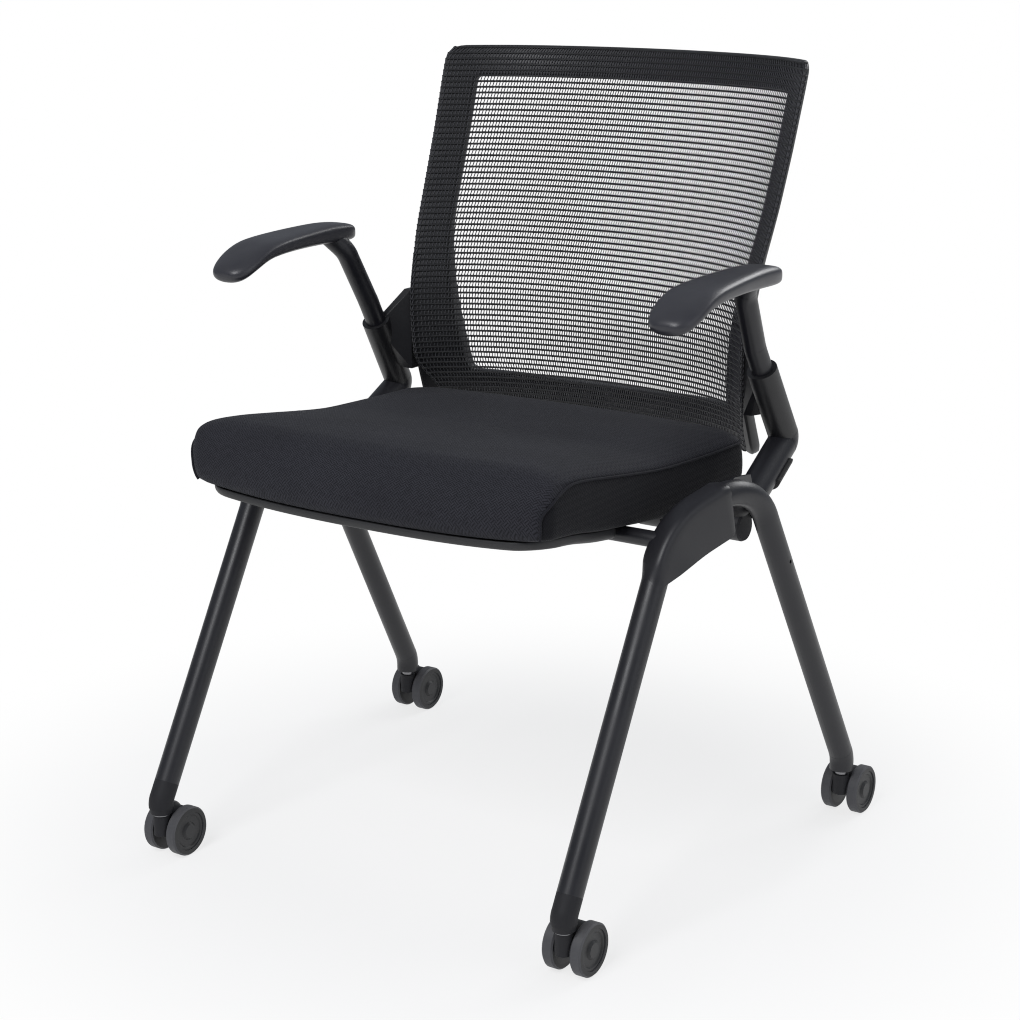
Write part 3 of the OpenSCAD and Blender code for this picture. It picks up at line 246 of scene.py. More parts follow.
# %% Dust and rub marks, a mask that is strong on faces that look up
def build_dust():
    group, g_in, g_out = new_group(
        "settled_dust",
        [("Vector", "NodeSocketVector", None), ("Normal", "NodeSocketVector", None),
         ("Amount", "NodeSocketFloat", 0.1)],
        [("Mask", "NodeSocketFloat")])
    up = math_node(group, "ADD", parts(group, g_in.outputs["Normal"])[2], 0.25, clamp=True)
    patch = node(group, "ShaderNodeTexNoise", Vector=g_in.outputs["Vector"], Scale=35.0, Detail=6.0)
    mask = math_node(group, "MULTIPLY", math_node(group, "MULTIPLY", up, 0.8), patch.outputs[0])
    mask = math_node(group, "MULTIPLY", mask, g_in.outputs["Amount"], clamp=True)
    feed(group, g_out.inputs["Mask"], mask)
    return group


dust_group = build_dust()


# %% Basket weave: two sets of yarns that pass over and under each other on a diagonal
def build_weave():
    group, g_in, g_out = new_group(
        "basket_weave",
        [("Vector", "NodeSocketVector", None), ("Yarns", "NodeSocketFloat", 900.0),
         ("Slub", "NodeSocketFloat", 0.35)],
        [("Height", "NodeSocketFloat"), ("Lit", "NodeSocketFloat")])
    x, y, _ = parts(group, g_in.outputs["Vector"])
    yarns = g_in.outputs["Yarns"]
    across = math_node(group, "MULTIPLY", math_node(group, "ADD", x, y), yarns)
    along = math_node(group, "MULTIPLY", math_node(group, "SUBTRACT", y, x), yarns)
    wave_a, wave_b = (math_node(group, "ABSOLUTE", math_node(group, "SINE", w))
                      for w in (across, along))
    half_a, half_b = (math_node(group, "SINE", math_node(group, "MULTIPLY", w, 0.5))
                      for w in (across, along))
    over = math_node(group, "GREATER_THAN", math_node(group, "MULTIPLY", half_a, half_b), 0.0)
    first = math_node(group, "MULTIPLY", wave_a, over)
    second = math_node(group, "MULTIPLY", wave_b, math_node(group, "SUBTRACT", 1.0, over))
    yarn = math_node(group, "ADD", first, second)
    slub = node(group, "ShaderNodeTexNoise", Vector=g_in.outputs["Vector"], Scale=160.0, Detail=3.0)
    uneven = math_node(group, "MULTIPLY", slub.outputs[0], g_in.outputs["Slub"])
    bright = math_node(group, "ADD", slub.outputs[0], 0.5)
    feed(group, g_out.inputs["Height"], math_node(group, "ADD", yarn, uneven))
    feed(group, g_out.inputs["Lit"], math_node(group, "MULTIPLY", yarn, bright, clamp=True))
    return group


weave_group = build_weave()
print("shader groups", [g.name for g in bpy.data.node_groups])

# %% [markdown]
# ## Hard finishes
# Paint, plastic, rubber and steel differ in only a few numbers: two shades of their colour,
# roughness, how metallic they are, and the size and depth of their grain. One function builds
# such a material from those numbers.


# %% Hard material builder
dust_colour = (0.20, 0.195, 0.19, 1.0)


def grained_material(name, grain, rough):
    """A material whose roughness follows the surface grain, and the nodes to build on."""
    material = bpy.data.materials.new(name)
    material.use_nodes = True
    tree = material.node_tree
    shader = tree.nodes["Principled BSDF"]
    place = tree.nodes.new("ShaderNodeTexCoord").outputs["Object"]
    surface = node(tree, "ShaderNodeGroup", node_tree=grain_group, Vector=place, Grain=grain,
                   Rough=rough)
    feed(tree, shader.inputs["Roughness"], surface.outputs["Roughness"])
    return material, tree, shader, place, surface


def lift_surface(tree, shader, height, strength, depth):
    lift = node(tree, "ShaderNodeBump", Strength=strength, Distance=depth, Height=height)
    feed(tree, shader.inputs["Normal"], lift.outputs["Normal"])


def hard_finish(name, dark, light, rough, grain=1500.0, bump=0.3, depth=0.0002,
                metallic=0.0, dust=0.05, specular=0.5):
    material, tree, shader, place, surface = grained_material(name, grain, rough)
    normal = tree.nodes.new("ShaderNodeNewGeometry").outputs["Normal"]
    dirt = node(tree, "ShaderNodeGroup", node_tree=dust_group, Amount=dust, Vector=place,
                Normal=normal)
    base = mix_colour(tree, surface.outputs["Cloud"], (*dark, 1.0), (*light, 1.0))
    dusty = mix_colour(tree, dirt.outputs["Mask"], base, dust_colour)
    feed(tree, shader.inputs["Base Color"], dusty)
    lift_surface(tree, shader, surface.outputs["Height"], bump, depth)
    shader.inputs["Metallic"].default_value = metallic
    shader.inputs["Specular IOR Level"].default_value = specular
    return material


# %% The chair's hard finishes
powder_coat = hard_finish("powder_coat", (0.008, 0.008, 0.011), (0.014, 0.014, 0.018), 0.40,
                          grain=1100, bump=0.22)
cast_coat = hard_finish("cast_coat", (0.007, 0.007, 0.008), (0.012, 0.012, 0.014), 0.40,
                        grain=800, depth=0.0003, dust=0.10)
frame_plastic = hard_finish("frame_plastic", (0.008, 0.008, 0.009), (0.013, 0.013, 0.015), 0.48,
                            bump=0.35, dust=0.12)
pad_plastic = hard_finish("pad_plastic", (0.022, 0.022, 0.028), (0.032, 0.032, 0.040), 0.36,
                          grain=1800, bump=0.4, dust=0.15)
pan_plastic = hard_finish("pan_plastic", (0.014, 0.014, 0.015), (0.021, 0.021, 0.023), 0.5,
                          bump=0.4, dust=0.10)
tyre_rubber = hard_finish("tyre_rubber", (0.050, 0.050, 0.055), (0.075, 0.075, 0.082), 0.55,
                          grain=900, dust=0.3)
disc_plastic = hard_finish("disc_plastic", (0.012, 0.012, 0.013), (0.020, 0.020, 0.022), 0.5)
foot_plastic = hard_finish("foot_plastic", (0.012, 0.012, 0.014), (0.019, 0.019, 0.022), 0.62,
                           bump=0.4, specular=0.3)
bumper_rubber = hard_finish("bumper_rubber", (0.012, 0.012, 0.012), (0.022, 0.022, 0.022), 0.7,
                            grain=900, bump=0.4, dust=0.2)
plated_steel = hard_finish("plated_steel", (0.20, 0.20, 0.21), (0.30, 0.30, 0.31), 0.34,
                           grain=2200, bump=0.1, depth=0.0001, metallic=1.0)
black_screw = hard_finish("black_screw", (0.03, 0.03, 0.032), (0.06, 0.06, 0.063), 0.35,
                          grain=2200, bump=0.15, depth=0.0001, metallic=0.8)
plywood = hard_finish("plywood", (0.30, 0.20, 0.11), (0.42, 0.29, 0.17), 0.6,
                      grain=300, depth=0.0003)


def darken_sides(material, side_colour):
    """The flat side of a tyre keeps its moulded black, while its running face is worn grey."""
    tree = material.node_tree
    shader = tree.nodes["Principled BSDF"]
    worn = shader.inputs["Base Color"].links[0].from_socket
    facing = parts(tree, tree.nodes.new("ShaderNodeTexCoord").outputs["Normal"])
    sideways = math_node(tree, "ABSOLUTE", facing[0])
    side = node(tree, "ShaderNodeMapRange", Value=sideways, From_Min=0.80, From_Max=0.95)
    both = mix_colour(tree, side.outputs["Result"], worn, (*side_colour, 1.0))
    feed(tree, shader.inputs["Base Color"], both)


darken_sides(tyre_rubber, (0.014, 0.014, 0.015))
print("hard finishes", len(bpy.data.materials))

# %% [markdown]
# ## A finish for every node of the construction
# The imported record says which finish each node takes, so the nodes are dressed from it. A
# finish is laid into the node's own material slots; the mesh itself is not touched.

# %% Dress the nodes
finish_of = {
    "tube_coat": powder_coat, "cast_coat": cast_coat, "black_plastic": foot_plastic,
    "pad_plastic": pad_plastic, "back_plastic": frame_plastic, "net_fabric": frame_plastic,
    "seat_fabric": pan_plastic, "board_wood": plywood, "pan_plastic": pan_plastic,
    "pad_rubber": bumper_rubber, "wheel_tyre": tyre_rubber, "wheel_disc": disc_plastic,
    "screw_steel": black_screw, "bright_steel": plated_steel,
}
for part in frame["record"]["subparts"]:
    dressed = nodes[part["node"]].data
    finish = finish_of[part["material_slot"]]
    if len(dressed.materials) == 0:
        dressed.materials.append(finish)
    for i in range(len(dressed.materials)):
        dressed.materials[i] = finish
print("dressed", len(nodes), "nodes")

# %% [markdown]
# ## The back's own surface
# The back is curved two ways: its side edges sweep forwards and back along their height, and
# in plan it is hollow for the sitter's back. The same few numbers that shape the plastic
# frame also carry the net, so both come from one surface.

# %% Shape of the back
back_foot, back_top, back_half_w = 401.0, 800.5, 221.0
lumbar_back, back_sweep, foot_sweep, back_hollow, round_share = 391.4, 95.0, 28.0, 78.0, 0.67
foot_curve = [(0, 1.0), (0.058, 0.71), (0.113, 0.41), (0.171, 0.14), (0.229, 0.05), (0.292, 0.0)]
sweep_curve = [(0.292, 0.0), (0.357, 0.01), (0.44, 0.115), (0.508, 0.21), (0.574, 0.335),
               (0.642, 0.458), (0.775, 0.674), (0.938, 0.905), (1.0, 1.0)]
half_curve = [(0, 0.943), (0.09, 0.936), (0.18, 0.933), (0.36, 0.942), (0.51, 0.965),
              (0.57, 0.975), (0.64, 0.982), (0.78, 0.991), (0.94, 1.0), (1.0, 0.999)]
fine_share = np.linspace(0, 1, 201)


def soften(curve, width=9):
    """The table's values on a fine ladder, with its corners rounded off."""
    values = np.array([lookup(curve, s) for s in fine_share])
    padded = np.pad(values, width, mode="reflect", reflect_type="odd")
    kernel = np.hanning(2 * width + 1)
    return np.convolve(padded, kernel / kernel.sum(), mode="valid")


edge_table = soften([(s, foot_sweep * v) for s, v in foot_curve[:-1]]
                    + [(s, back_sweep * v) for s, v in sweep_curve])
half_table = soften(half_curve)


def back_share(z):
    return (z - back_foot) / (back_top - back_foot)


def back_half(z):
    return back_half_w * float(np.interp(back_share(z), fine_share, half_table))


def edge_y(z):
    return front_y / mm + lumbar_back + float(np.interp(back_share(z), fine_share, edge_table))


def back_y(x, z):
    u = min(1.0, abs(x) / back_half(z))
    return edge_y(z) + back_hollow * (round_share * (1 - u ** 2) + (1 - round_share) * (1 - u ** 6))


def stile_w(z):
    return mix(44.0, 26.5, smooth((back_share(z) - 0.02) / 0.52))


def back_depth(z):
    return mix(22.0, 13.0, smooth((back_share(z) - 0.3) / 0.3))


print("the back's front surface, middle:", [round(back_y(0, z), 1) for z in (401, 520, 660, 800)])

# %% [markdown]
# ## The back's frame
# One moulding runs round the opening: wide and deep at the foot, slim at the top. It is a
# closed loop of sections. The construction holds the same loop with few faces; here it gets
# enough of them to look smooth, and rounded edges.


# %% Frame loop
corner_steps, stile_steps, level_steps = 8, 40, 28


def back_loop(side_in, top, foot, r, sag=0.0):
    """Points round the back; sag is how much lower the level foot runs in its middle."""
    pts = []

    def half(z):
        return back_half(z) - side_in(z)

    def corner(side, level, start, end):
        for k in range(corner_steps + 1):
            turn = math.radians(mix(start, end, k / corner_steps))
            z = level + r * math.sin(turn)
            pts.append((side * (half(z) - r + r * math.cos(turn)), z))

    def stile(side, start, end):
        for k in range(1, stile_steps):
            z = mix(start, end, k / stile_steps)
            pts.append((side * half(z), z))

    def level_run(z, start, dip):
        for k in range(1, level_steps):
            share = mix(start, -start, k / level_steps)
            pts.append((share * (half(z) - r), z - dip * (1 - share ** 2)))

    corner(1, top - r, 90, 0)
    stile(1, top - r, foot + r)
    corner(1, foot + r, 0, -90)
    level_run(foot, 1, sag)
    corner(-1, foot + r, -90, 0)
    stile(-1, foot + r, top - r)
    corner(-1, top - r, 0, 90)
    level_run(top, -1, 0.0)
    return pts


frame_section = [(0.0, 0.22), (0.025, 0.08), (0.09, 0.0), (0.5, 0.0), (0.9, 0.0), (0.975, 0.07),
                 (1.0, 0.2), (1.0, 0.55), (0.99, 0.78), (0.93, 0.93), (0.85, 1.0), (0.5, 1.0),
                 (0.14, 1.0), (0.05, 0.95), (0.01, 0.83), (0.0, 0.6)]
outer_loop = back_loop(lambda z: 0.0, back_top, back_foot, 12.0)
inner_loop = back_loop(stile_w, back_top - 32.0, back_foot + 46.0, 8.0, sag=7.0)
frame_rings = []
for (xo, zo), (xi, zi) in zip(outer_loop, inner_loop):
    ring = []
    for share, deep in frame_section:
        x, z = mix(xo, xi, share), mix(zo, zi, share)
        ring.append((x * mm, (back_y(x, z) + back_depth(z) * deep) * mm, z * mm))
    frame_rings.append(ring)
back_shell = skin("back_shell", frame_rings, close_rings=True, material=frame_plastic)
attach(back_shell, "frame")
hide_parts("back_frame")
print("back shell faces", len(back_shell.data.polygons))

# %% [markdown]
# ## The net
# The net is knitted: stout level ribs with thin slanted threads between them, and daylight in
# the slots. It is stretched over the front of the frame and round its side edges. Each
# rib and each thread is one curve, so Geometry Nodes make them: they are laid out flat in a
# unit square first, where everything is straight, and then every point is sent to the curved
# surface by its place in the square. That is how a real net is made too: flat, then stretched.


# %% The surface that the net is sent to
def net_guide():
    """A grid over the back with a UV map: u runs across, v runs up. It never shows."""
    across, up = 120, 60
    fold, margin, edge_in, proud = 9.0, 1.2, 0.3, 0.9
    bare_z, bare_h, bare_in = 418.0, 50.0, 15.0
    round_v, round_in = 0.03, 5.0
    verts, uvs, faces = [], [], []
    for j in range(up + 1):
        v = j / up
        z = mix(back_foot + margin, back_top - margin, v)
        bare = 1 - smooth((z - bare_z) / bare_h)
        near_end = max(0.0, 1 - min(v, 1 - v) / round_v)
        half = back_half(z) - edge_in - bare_in * bare - round_in * near_end ** 2
        wrap = 1 - bare
        width = 2 * half + 2 * fold
        for i in range(across + 1):
            s = i / across * width - width / 2
            side = 1 if s > 0 else -1
            reach = abs(s)
            if reach <= half - 2:
                x, y = reach, back_y(reach, z) - proud
            else:
                t = (reach - half + 2) / (fold + 2)
                turn = min(1.0, t * 2.2)
                x = half - 2 + 2.6 * math.sin(turn * math.pi / 2)
                rearwards = 3.0 * (1 - math.cos(turn * math.pi / 2)) + 6.5 * max(0.0, t - 0.4)
                y = back_y(half, z) - proud + 1.2 * turn + wrap * rearwards
            verts.append((side * x * mm, y * mm, z * mm))
            uvs.append((i / across, v))
    for j in range(up):
        for i in range(across):
            a = j * (across + 1) + i
            faces.append((a, a + 1, a + across + 2, a + across + 1))
    obj = make_object("net_guide", verts, faces)
    layer = obj.data.uv_layers.new(name="UVMap")
    for loop in obj.data.loops:
        layer.data[loop.index].uv = uvs[loop.vertex_index]
    return obj


guide = net_guide()
print("net guide", len(guide.data.vertices), "points")


# %% Geometry Nodes helpers
def geometry_tree(name, inputs):
    tree = bpy.data.node_groups.new(name, "GeometryNodeTree")
    tree.interface.new_socket("Geometry", in_out="OUTPUT", socket_type="NodeSocketGeometry")
    identifiers = {}
    for label, kind, value in inputs:
        socket = tree.interface.new_socket(label, in_out="INPUT", socket_type=kind)
        if value is not None:
            socket.default_value = value
        identifiers[label] = socket.identifier
    return tree, tree.nodes.new("NodeGroupInput"), tree.nodes.new("NodeGroupOutput"), identifiers


def run_tree(name, tree, identifiers, values):
    """Runs a tree on an empty mesh and keeps the result as a plain mesh."""
    obj = make_object(name, [(0, 0, 0)], [])
    mod = obj.modifiers.new("Made", "NODES")
    mod.node_group = tree
    for label, value in values.items():
        mod[identifiers[label]] = value
    obj.data.update()
    bpy.context.view_layer.update()
    apply_modifiers(obj)
    obj.data.polygons.foreach_set("use_smooth", [True] * len(obj.data.polygons))
    return obj


# %% Tree of the net: ribs, then threads, both sent to the guide
def net_tree():
    tree, g_in, g_out, ids = geometry_tree("knitted_net", [
        ("Guide", "NodeSocketObject", None), ("Ribs", "NodeSocketInt", 66),
        ("Threads", "NodeSocketInt", 152), ("Rib Segments", "NodeSocketInt", 150),
        ("Rib Radius", "NodeSocketFloat", 0.0012), ("Thread Radius", "NodeSocketFloat", 0.0007),
        ("Slant", "NodeSocketFloat", 0.0022), ("Rib Finish", "NodeSocketMaterial", None),
        ("Thread Finish", "NodeSocketMaterial", None)])
    given = g_in.outputs
    info = node(tree, "GeometryNodeObjectInfo", transform_space="ORIGINAL", Object=given["Guide"])
    uv = node(tree, "GeometryNodeInputNamedAttribute", data_type="FLOAT_VECTOR", Name="UVMap")

    def maths(operation, a, b=None):
        return math_node(tree, operation, a, b)

    def send(curves):
        """Moves every point of flat curves in the unit square to the guide's surface."""
        here = node(tree, "GeometryNodeInputPosition").outputs[0]
        sample = node(tree, "GeometryNodeSampleUVSurface", data_type="FLOAT_VECTOR",
                      Mesh=info.outputs["Geometry"], Value=here,
                      UV_Map=uv.outputs["Attribute"], Sample_UV=here)
        move = node(tree, "GeometryNodeSetPosition", Geometry=curves,
                    Position=sample.outputs["Value"])
        return move.outputs["Geometry"]

    def solid(curves, radius, sides):
        profile = node(tree, "GeometryNodeCurvePrimitiveCircle", Resolution=sides, Radius=1.0)
        sweep = node(tree, "GeometryNodeCurveToMesh", Curve=curves, Scale=radius,
                     Profile_Curve=profile.outputs["Curve"])
        return sweep.outputs["Mesh"]

    def copies(points, instance):
        place = node(tree, "GeometryNodeInstanceOnPoints", Points=points, Instance=instance)
        real = node(tree, "GeometryNodeRealizeInstances", Geometry=place.outputs["Instances"])
        return real.outputs[0]

    # Ribs: level lines, one above the other, each swelling at every stitch
    span = 0.996
    low = (1 - span) / 2
    # In this mode the socket named Offset holds the ladder's end.
    ladder = node(tree, "GeometryNodeMeshLine", mode="END_POINTS", Count=given["Ribs"],
                  Start_Location=(low, low, 0.0), Offset=(low, 1 - low, 0.0))
    line = node(tree, "GeometryNodeCurvePrimitiveLine", Start=(0.0, 0.0, 0.0),
                End=(span, 0.0, 0.0))
    cut = node(tree, "GeometryNodeResampleCurve", Count=given["Rib Segments"],
               Curve=copies(ladder.outputs["Mesh"], line.outputs["Curve"]))
    index = node(tree, "GeometryNodeInputIndex").outputs[0]
    swell = maths("ADD", 0.92, maths("MULTIPLY", maths("MODULO", index, 2.0), 0.16))
    ribs = solid(send(cut.outputs["Curve"]), maths("MULTIPLY", given["Rib Radius"], swell), 5)

    # Threads: a short slanted line at every crossing of a grid
    gaps = maths("SUBTRACT", given["Ribs"], 1)
    step = maths("DIVIDE", span, gaps)
    field = node(tree, "GeometryNodeMeshGrid", Vertices_X=given["Threads"], Vertices_Y=gaps,
                 Size_X=maths("SUBTRACT", span, 0.012), Size_Y=maths("SUBTRACT", span, step))
    shift = node(tree, "GeometryNodeTransform", Geometry=field.outputs["Mesh"],
                 Translation=(0.5, 0.5, 0.0))
    lean = node(tree, "ShaderNodeCombineXYZ", X=maths("MULTIPLY", given["Slant"], 0.5),
                Y=maths("MULTIPLY", step, 0.46)).outputs[0]
    back_lean = node(tree, "ShaderNodeVectorMath", operation="SCALE", Vector=lean, Scale=-1.0)
    short = node(tree, "GeometryNodeCurvePrimitiveLine", Start=back_lean.outputs[0], End=lean)
    threads = solid(send(copies(shift.outputs["Geometry"], short.outputs["Curve"])),
                    given["Thread Radius"], 3)
    mark = node(tree, "GeometryNodeStoreNamedAttribute", data_type="BOOLEAN", domain="FACE",
                Geometry=threads, Name="thread", Value=True)

    join = node(tree, "GeometryNodeJoinGeometry")
    tree.links.new(ribs, join.inputs[0])
    tree.links.new(mark.outputs["Geometry"], join.inputs[0])
    last = node(tree, "GeometryNodeRealizeInstances", Geometry=join.outputs[0])
    paint = node(tree, "GeometryNodeSetMaterial", Geometry=last.outputs[0],
                 Material=given["Rib Finish"])
    is_thread = node(tree, "GeometryNodeInputNamedAttribute", data_type="BOOLEAN", Name="thread")
    repaint = node(tree, "GeometryNodeSetMaterial", Geometry=paint.outputs["Geometry"],
                   Selection=is_thread.outputs["Attribute"], Material=given["Thread Finish"])
    tree.links.new(repaint.outputs["Geometry"], g_out.inputs[0])
    return tree, ids


# %% [markdown]
# The yarn of the net is black polyester: a soft sheen and a little lighter where the filaments
# turn to the light. A fine noise along the yarn breaks up its highlight. The thin threads are of a
# lighter yarn than the ribs, so where the net lies on the frame it shows grey bands between
# black lines.


# %% Yarn material
def yarn_finish(name, dark, light):
    material, tree, shader, _, surface = grained_material(name, 1600.0, 0.6)
    base = mix_colour(tree, surface.outputs["Height"], (*dark, 1.0), (*light, 1.0))
    feed(tree, shader.inputs["Base Color"], base)
    lift_surface(tree, shader, surface.outputs["Height"], 0.5, 0.0003)
    shader.inputs["Sheen Weight"].default_value = 0.15
    shader.inputs["Sheen Roughness"].default_value = 0.4
    return material


rib_yarn = yarn_finish("rib_yarn", (0.004, 0.004, 0.005), (0.012, 0.012, 0.014))
thread_yarn = yarn_finish("thread_yarn", (0.022, 0.022, 0.026), (0.055, 0.055, 0.064))

# %% Knit the net
tree, ids = net_tree()
knitted_net = run_tree("knitted_net", tree, ids, {
    "Guide": guide, "Ribs": 66, "Threads": 152, "Rib Segments": 150, "Rib Radius": 0.0012,
    "Thread Radius": 0.0007, "Slant": 0.0022, "Rib Finish": rib_yarn,
    "Thread Finish": thread_yarn})
bpy.data.objects.remove(guide)
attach(knitted_net, "frame")
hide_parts("back_net")
print("net triangles", sum(len(p.vertices) - 2 for p in knitted_net.data.polygons))

# %% [markdown]
# ## The seat cushion
# The cushion is foam under two panels of the same black fabric: a top panel that rolls down
# over the front, and a side band, joined by a thin piping. Its side is nearly upright, pulls
# in a little at the seam, and its top is nearly flat with a soft crown. The shape is built as
# rings round the outline, from the lower edge over the seam to the middle of the top, and is
# then blown up a little as cloth, so that the fabric swells between the seams.

# %% Shape of the seat
seat_half, seat_front, seat_rear = 210.0, front_y / mm + 19.5, front_y / mm + 404.0
corner_r, front_bow, rear_bow, roll_w = 18.0, 9.0, 16.0, 40.0
top_curve = [(0, 1.0), (0.104, 1.0), (0.2, 0.86), (0.322, 0.62), (0.43, 0.4), (0.532, 0.22),
             (0.79, 0.07), (1, 0)]
skirt_curve = [(0, 1.0), (0.171, 1.0), (0.387, 0.6), (0.49, 0.38), (0.631, 0.09), (0.766, 0),
               (1, 0.1)]
top_table, skirt_table = soften(top_curve, 14), soften(skirt_curve, 14)
cross_y, cross_z, board_slope, board_t = front_y / mm + 175.4, 377.0, math.radians(5.2), 10.0
seam_front, seam_rear = 0.82, 0.78


def seat_share(y):
    return min(1.0, max(0.0, (y - seat_front) / (seat_rear - seat_front)))


def top_z(y):
    return mix(438.0, 465.0, float(np.interp(seat_share(y), fine_share, top_table)))


def skirt_z(x, y):
    base = mix(372.0, 396.0, float(np.interp(seat_share(y), fine_share, skirt_table)))
    return base + 8.0 * min(1.0, abs(x) / seat_half) ** 3 * (1 - smooth(seat_share(y) / 0.3))


def seam_z(x, y):
    return mix(skirt_z(x, y), top_z(y), mix(seam_front, seam_rear, seat_share(y)))


def board_z(y):
    """The board's underside, which rests on the cross tube's pads."""
    return cross_z + 10.4 - (y - cross_y) * math.tan(board_slope)


def board_top(y):
    return board_z(y) + (board_t + 0.3) / math.cos(board_slope)


def seat_outline(inset, r, steps=8, level_steps=26, side_steps=26):
    half, y0, y1 = seat_half - inset, seat_front + inset, seat_rear - inset
    pts = []

    def arc(cx, cy, start):
        for k in range(steps + 1):
            a = math.radians(start + 90 * k / steps)
            pts.append((cx + r * math.cos(a), cy + r * math.sin(a), math.cos(a), math.sin(a)))

    def row(a, b, n, d):
        for k in range(1, n):
            pts.append((mix(a[0], b[0], k / n), mix(a[1], b[1], k / n), d[0], d[1]))

    arc(half - r, y1 - r, 0)
    row((half - r, y1), (-half + r, y1), level_steps, (0, 1))
    arc(-half + r, y1 - r, 90)
    row((-half, y1 - r), (-half, y0 + r), side_steps, (-1, 0))
    arc(-half + r, y0 + r, 180)
    row((-half + r, y0), (half - r, y0), level_steps, (0, -1))
    arc(half - r, y0 + r, 270)
    row((half, y0 + r), (half, y1 - r), side_steps, (1, 0))
    bowed = []
    for x, y, nx, ny in pts:
        bow = rear_bow if ny > 0.5 else -front_bow if ny < -0.5 else 0.0
        bowed.append((x, y + (1 - (x / half) ** 2) * bow, nx, ny))
    return bowed


# %% Rings of the cushion
side_levels = [
    (0.05, 0.00), (0.015, 0.12), (-0.03, 0.27), (-0.05, 0.50), (-0.03, 0.74), (0.01, 0.92),
    (0.04, 0.98), (0.04, 1.02), (0.03, 1.16), (0.07, 1.36), (0.16, 1.58), (0.30, 1.76),
    (0.50, 1.88), (0.75, 1.95), (1.00, 1.985)]
front_turns = [None, None, None, 0, 12, 24, 35, 45, 52, 59, 66, 73, 80, 86, 90]
front_foot = [(0.20, 0.00), (0.07, 0.12), (0.01, 0.27)]
roll_start, roll_depth = 0.42, 0.95


def front_level(i):
    """Inset and level of the front panel: a tucked foot, then a quarter of an ellipse."""
    if front_turns[i] is None:
        inset, share = front_foot[i]
    else:
        turn = math.radians(front_turns[i])
        inset = roll_depth * (1 - math.cos(turn))
        share = mix(roll_start, 1.0, math.sin(turn))
    if share <= seam_front:
        return inset, share / seam_front
    return inset, 1 + (share - seam_front) / (1 - seam_front)


cushion_rows = [(*side_levels[i], *front_level(i)) for i in range(len(side_levels))]


def level_height(x, y, level):
    if level <= 1:
        return mix(skirt_z(x, y), seam_z(x, y), level)
    return mix(seam_z(x, y), top_z(y), level - 1)


def cushion_ring(row):
    side_in, side_level, front_in, front_rise = row
    r = max(corner_r, roll_w * front_in + 8.0)
    ring = []
    for x, y, nx, ny in seat_outline(0, r):
        f = max(0.0, -ny) ** 1.5
        inset = roll_w * mix(side_in, front_in, f)
        z = level_height(x, y, mix(side_level, front_rise, f))
        ring.append((x - nx * inset, y - ny * inset, z))
    return ring


def bottom_ring(inset, r, lift):
    ring = []
    for x, y, nx, ny in seat_outline(inset, r):
        z = board_top(y) if lift else skirt_z(x, y) + 0.3
        ring.append((x, y, z))
    return ring


seat_middle = (seat_front + seat_rear) / 2
inner_ring = cushion_ring(cushion_rows[-1])
top_rings = []
for k in (0.95, 0.88, 0.78, 0.64, 0.5, 0.36, 0.22, 0.1):
    ring = []
    for x, y, z in inner_ring:
        px, py = x * k, seat_middle + (y - seat_middle) * k
        ring.append((px, py, top_z(py) - 0.3 + 3.0 * (1 - k * k)))
    top_rings.append(ring)
board_in, board_r = 21.7, 12.3
under = bottom_ring(board_in, board_r, True)
centre_ring = [(x / 2, (y + seat_middle) / 2, board_top((y + seat_middle) / 2))
               for x, y, _ in under]
cushion_rings = [centre_ring, under, bottom_ring(board_in, board_r, False)]
cushion_rings += [cushion_ring(row) for row in cushion_rows] + top_rings
cushion_rings = [[(x * mm, y * mm, z * mm) for x, y, z in ring] for ring in cushion_rings]
print("cushion rings", len(cushion_rings), "of", len(cushion_rings[0]), "points")

# %% [markdown]
# ### Fabric
# The cover is a basket weave laid on the diagonal. Its yarns repeat every two or three
# millimetres, so the weave is drawn in the material, from the object's own coordinates. The
# top panel reads X, and Y plus Z, which keeps growing over the front roll; the side band
# reads X plus Y, and Z. Both panels are one black fabric: the top panel gets a lighter copy
# of it, as painted light, and the side band a darker copy, as painted shade.


# %% Fabric material
def fabric_finish(name, dark, light, yarns, axis):
    """axis says which sums of coordinates the weave reads, those of the top or the side."""
    material, tree, shader, place, surface = grained_material(name, 2500.0, 0.82)
    x, y, z = parts(tree, place)
    if axis == "top":
        first, second = x, math_node(tree, "ADD", y, z)
    else:
        first, second = math_node(tree, "ADD", x, y), z
    flat = node(tree, "ShaderNodeCombineXYZ", X=first, Y=second).outputs[0]
    weave = node(tree, "ShaderNodeGroup", node_tree=weave_group, Yarns=yarns, Vector=flat)
    surface.inputs["Cloud"].default_value = 9.0
    surface.inputs["Spread"].default_value = 0.03
    bright = math_node(tree, "ADD", surface.outputs["Cloud"], 0.35)
    lit = math_node(tree, "MULTIPLY", weave.outputs["Lit"], bright)
    base = mix_colour(tree, lit, (*dark, 1.0), (*light, 1.0))
    feed(tree, shader.inputs["Base Color"], base)
    fluff = math_node(tree, "MULTIPLY", surface.outputs["Height"], 0.4)
    height = math_node(tree, "ADD", weave.outputs["Height"], fluff)
    lift_surface(tree, shader, height, 0.55, 0.0004)
    shader.inputs["Sheen Weight"].default_value = 0.06
    shader.inputs["Sheen Roughness"].default_value = 0.45
    shader.inputs["Specular IOR Level"].default_value = 0.2
    return material


# Painted light and shade: the top panel's copy of the black fabric is lighter, the side band's copy
# darker.
lit_top_fabric = fabric_finish("lit_top_fabric", (0.005, 0.005, 0.007), (0.034, 0.034, 0.042),
                           900.0, "top")
shaded_side_fabric = fabric_finish("shaded_side_fabric", (0.002, 0.002, 0.003), (0.008, 0.008, 0.011),
                            900.0, "side")
piping_fabric = fabric_finish("piping_fabric", (0.006, 0.006, 0.008), (0.018, 0.018, 0.024),
                              2200.0, "top")

